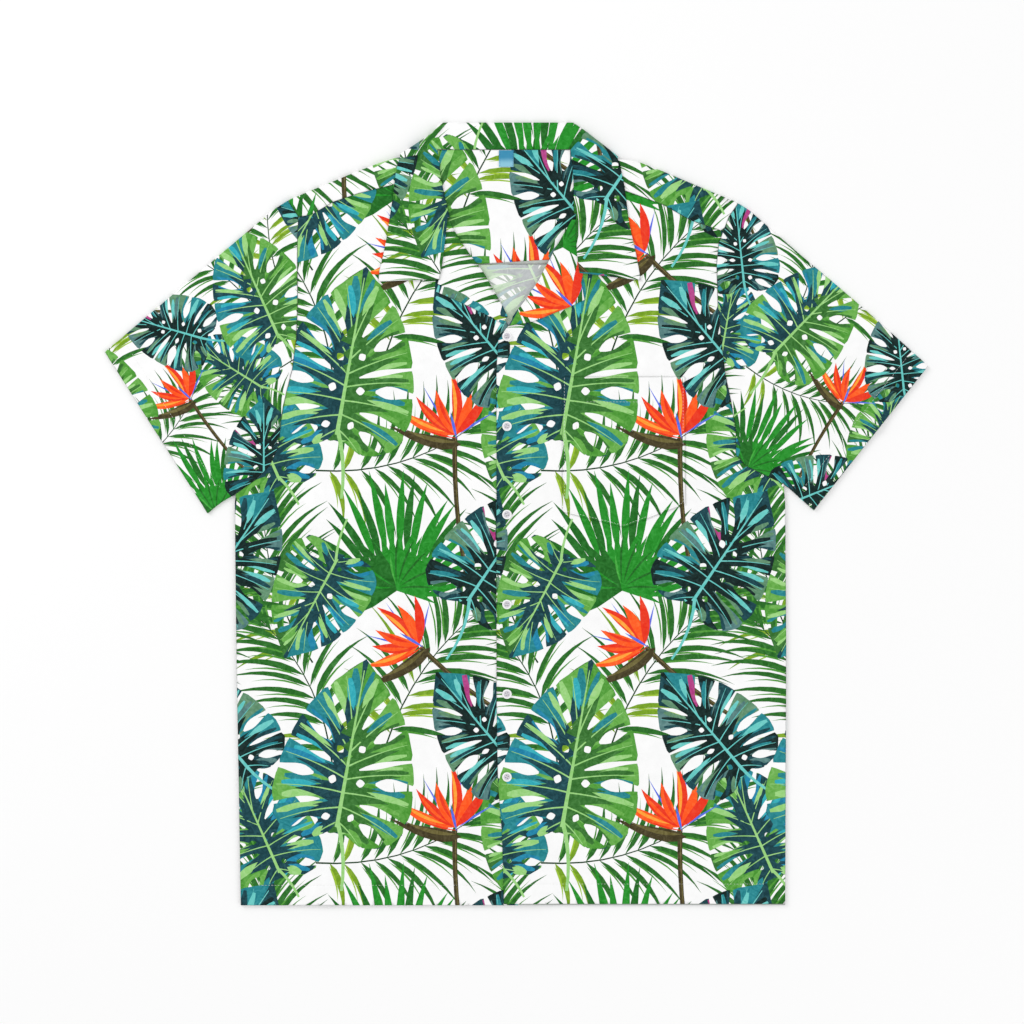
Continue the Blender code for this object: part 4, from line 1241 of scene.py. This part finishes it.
def sew(name, rows, material, stitch):
    """Stitches along lines of places in garment millimetres."""
    pattern = drawn(name, rows)
    sewing = pattern.modifiers.new("sewing", "NODES")
    sewing.node_group, sockets = sewing_tree(material)
    for size, value in stitch.items():
        sewing[sockets[size].identifier] = value * MM
    thread_piece(name, pattern)


# %% Sew the rows
HIGH_ABOVE, LIFT = 30.0, 0.06       # where the search for the cloth starts, and where the thread lies


def on_cloth(name, way, line):
    """A plan line, laid on a piece's skin."""
    hits = [skins[name].ray_cast((x, y, way * HIGH_ABOVE), (0.0, 0.0, -way))[0] for x, y in line]
    laid = [(x, y, hit.z + way * LIFT) for (x, y), hit in zip(line, hits) if hit is not None]
    return np.array(laid).reshape(-1, 3)


white_thread = thread_finish("white_thread", (246, 246, 244))
blue_thread = thread_finish("blue_thread", (34, 120, 176))
cloth_rows = [on_cloth(*row) for row in rows_on if row[0] != "neck_label"]
label_rows = [on_cloth(*row) for row in rows_on if row[0] == "neck_label"]
sew("seam_stitches", cloth_rows, white_thread, SEAM_STITCH)
sew("label_stitches", label_rows, blue_thread, LABEL_STITCH)


# %% [markdown]
# ## Buttons
#
# The buttons are pearly four-hole buttons with a raised rim. A turned profile makes the body. Its
# sunk middle is a flat disc with four holes, cut by the same triangulation as the cloth, and two
# straight runs of thread hold it.

# %% Button shape
RIM_PROFILE = (     # radius, height above the foot, from the holes' floor over the rim to the foot
    (2.75, 1.42), (3.0, 1.55), (3.25, 1.85), (3.6, 2.06), (4.05, 2.08), (4.45, 1.92), (4.72, 1.58),
    (4.8, 1.15), (4.74, 0.72), (4.5, 0.36), (4.1, 0.12), (3.6, 0.02), (2.75, 0.0),
)
HOLE_PLACE, HOLE_RADIUS = 0.98, 0.6
BUTTON_SIDES, HOLE_SIDES = 48, 16


def ring_spots(radius, sides, middle=(0.0, 0.0)):
    angles = np.arange(sides) * 2 * math.pi / sides
    return np.column_stack([middle[0] + radius * np.cos(angles), middle[1] + radius * np.sin(angles)])


def button_mesh():
    """Places and faces of one button, its foot at the origin."""
    places, faces = [], []

    def add(flat, height):
        places.extend((x, y, height) for x, y in flat)
        return len(places) - len(flat)

    for radius, height in RIM_PROFILE:
        first = add(ring_spots(radius, BUTTON_SIDES), height)
        if first:
            faces += [(a - BUTTON_SIDES, a, b, b - BUTTON_SIDES) for a, b in round_pairs(first, BUTTON_SIDES)]
    (inner, top), (_, foot) = RIM_PROFILE[0], RIM_PROFILE[-1]
    holes = list(itertools.product((-HOLE_PLACE, HOLE_PLACE), repeat=2))
    rings = [ring_spots(inner, BUTTON_SIDES)] + [ring_spots(HOLE_RADIUS, HOLE_SIDES, hole) for hole in holes]
    firsts = itertools.accumulate(map(len, rings), initial=0)
    edges = [pair for first, ring in zip(firsts, rings) for pair in round_pairs(first, len(ring))]
    made = delaunay_2d_cdt([tuple(spot) for ring in rings for spot in ring], edges, [], 0, 1e-5, False)
    flat = np.array(made[0])
    disc = []
    for corners in made[2]:
        middle = flat[list(corners)].mean(axis=0)
        clear = all(norm(middle - hole) > HOLE_RADIUS * 0.98 for hole in holes)
        if norm(middle) < inner and clear:
            disc.append(corners)
    for height, order in ((top, 1), (foot, -1)):
        first = add(flat, height)
        faces += [tuple(first + corner for corner in corners[::order]) for corners in disc]
    for ring in rings[1:]:
        first = add(ring, top)
        add(ring, foot)
        faces += [(a, b, b + HOLE_SIDES, a + HOLE_SIDES) for a, b in round_pairs(first, HOLE_SIDES)]
    return np.array(places), faces


def round_pairs(first, count):
    """The edges of a closed ring of numbered spots."""
    return [(first + k, first + (k + 1) % count) for k in range(count)]


def button_finish():
    finish = Finish("button_pearl", Coat_Weight=0.4, Coat_Roughness=0.08)
    cloud = finish.noise(finish.place(), 260.0, 4.0, 0.6)
    # painted shade: the sunk middle inside the raised rim is painted a darker grey-lilac than the rim
    pearl = finish.mix(finish.attribute("sunk", 2), linear((250, 250, 249)), linear((206, 202, 210)))
    return finish.paint({"Base Color": finish.mix(cloud * 0.5 - 0.12, pearl, linear((226, 222, 232))),
                         "Roughness": cloud * 0.12 + 0.16})


# %% Set the buttons
BUTTON_TURNS = (8.0, -14.0, 21.0, -5.0, 12.0, -24.0)
SUNK = (2.9, 3.7)                   # the painted shade of the sunk middle ends between these radii
SHARP_RIM = 35                      # degrees
THREAD_APART, THREAD_THICK = 0.17, 0.34
THREAD_ARCH = ((0.0, 1.0), (0.12, 1.62), (0.5, 1.72), (0.88, 1.62), (1.0, 1.0))     # share, height

button_places, button_faces = button_mesh()
pearl = button_finish()
thread_rows = []
for number, turn in enumerate(BUTTON_TURNS, 1):
    node = f"button_{number}"
    low, high = (np.array(corner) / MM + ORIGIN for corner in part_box(node))
    foot = np.array((0.5 * (low[0] + high[0]), 0.5 * (low[1] + high[1]), low[2]))
    spun = np.column_stack([turned(button_places[:, :2], turn), button_places[:, 2]]) + foot
    mesh = bpy.data.meshes.new(node + "_turned")
    mesh.from_pydata(metres(spun).tolist(), [], button_faces)
    shaped = bmesh.new()
    shaped.from_mesh(mesh)
    bmesh.ops.remove_doubles(shaped, verts=shaped.verts, dist=1e-6)
    bmesh.ops.recalc_face_normals(shaped, faces=shaped.faces)
    shaped.to_mesh(mesh)
    shaped.free()
    out = norm(values_of(mesh.vertices, "co", 3)[:, :2] / MM + ORIGIN[:2] - foot[:2], axis=1)
    mesh.attributes.new("sunk", "FLOAT", "POINT").data.foreach_set("value", 1 - soft_step(out, *SUNK))
    mesh.shade_smooth()
    mesh.set_sharp_from_angle(angle=math.radians(SHARP_RIM))
    mesh.materials.append(pearl)
    button = show(node + "_turned", mesh)
    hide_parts(node)
    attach(button, body)
    for side, drift in itertools.product((-1, 1), (-THREAD_APART, THREAD_APART)):
        across = side * HOLE_PLACE + drift
        start, end = (turned([(across, way * HOLE_PLACE)], turn)[0] for way in (-1, 1))
        thread_rows.append(foot + [(*(start + (end - start) * share), high) for share, high in THREAD_ARCH])
print("buttons:", len(BUTTON_TURNS), "threads:", len(thread_rows))


# %% Button threads
threads = drawn("button_threads", thread_rows)
threads.data.bevel_depth = 0.5 * THREAD_THICK * MM
threads.data.bevel_resolution = 2
threads.data.use_fill_caps = True
threads.data.materials.append(white_thread)
thread_piece("button_threads", threads)
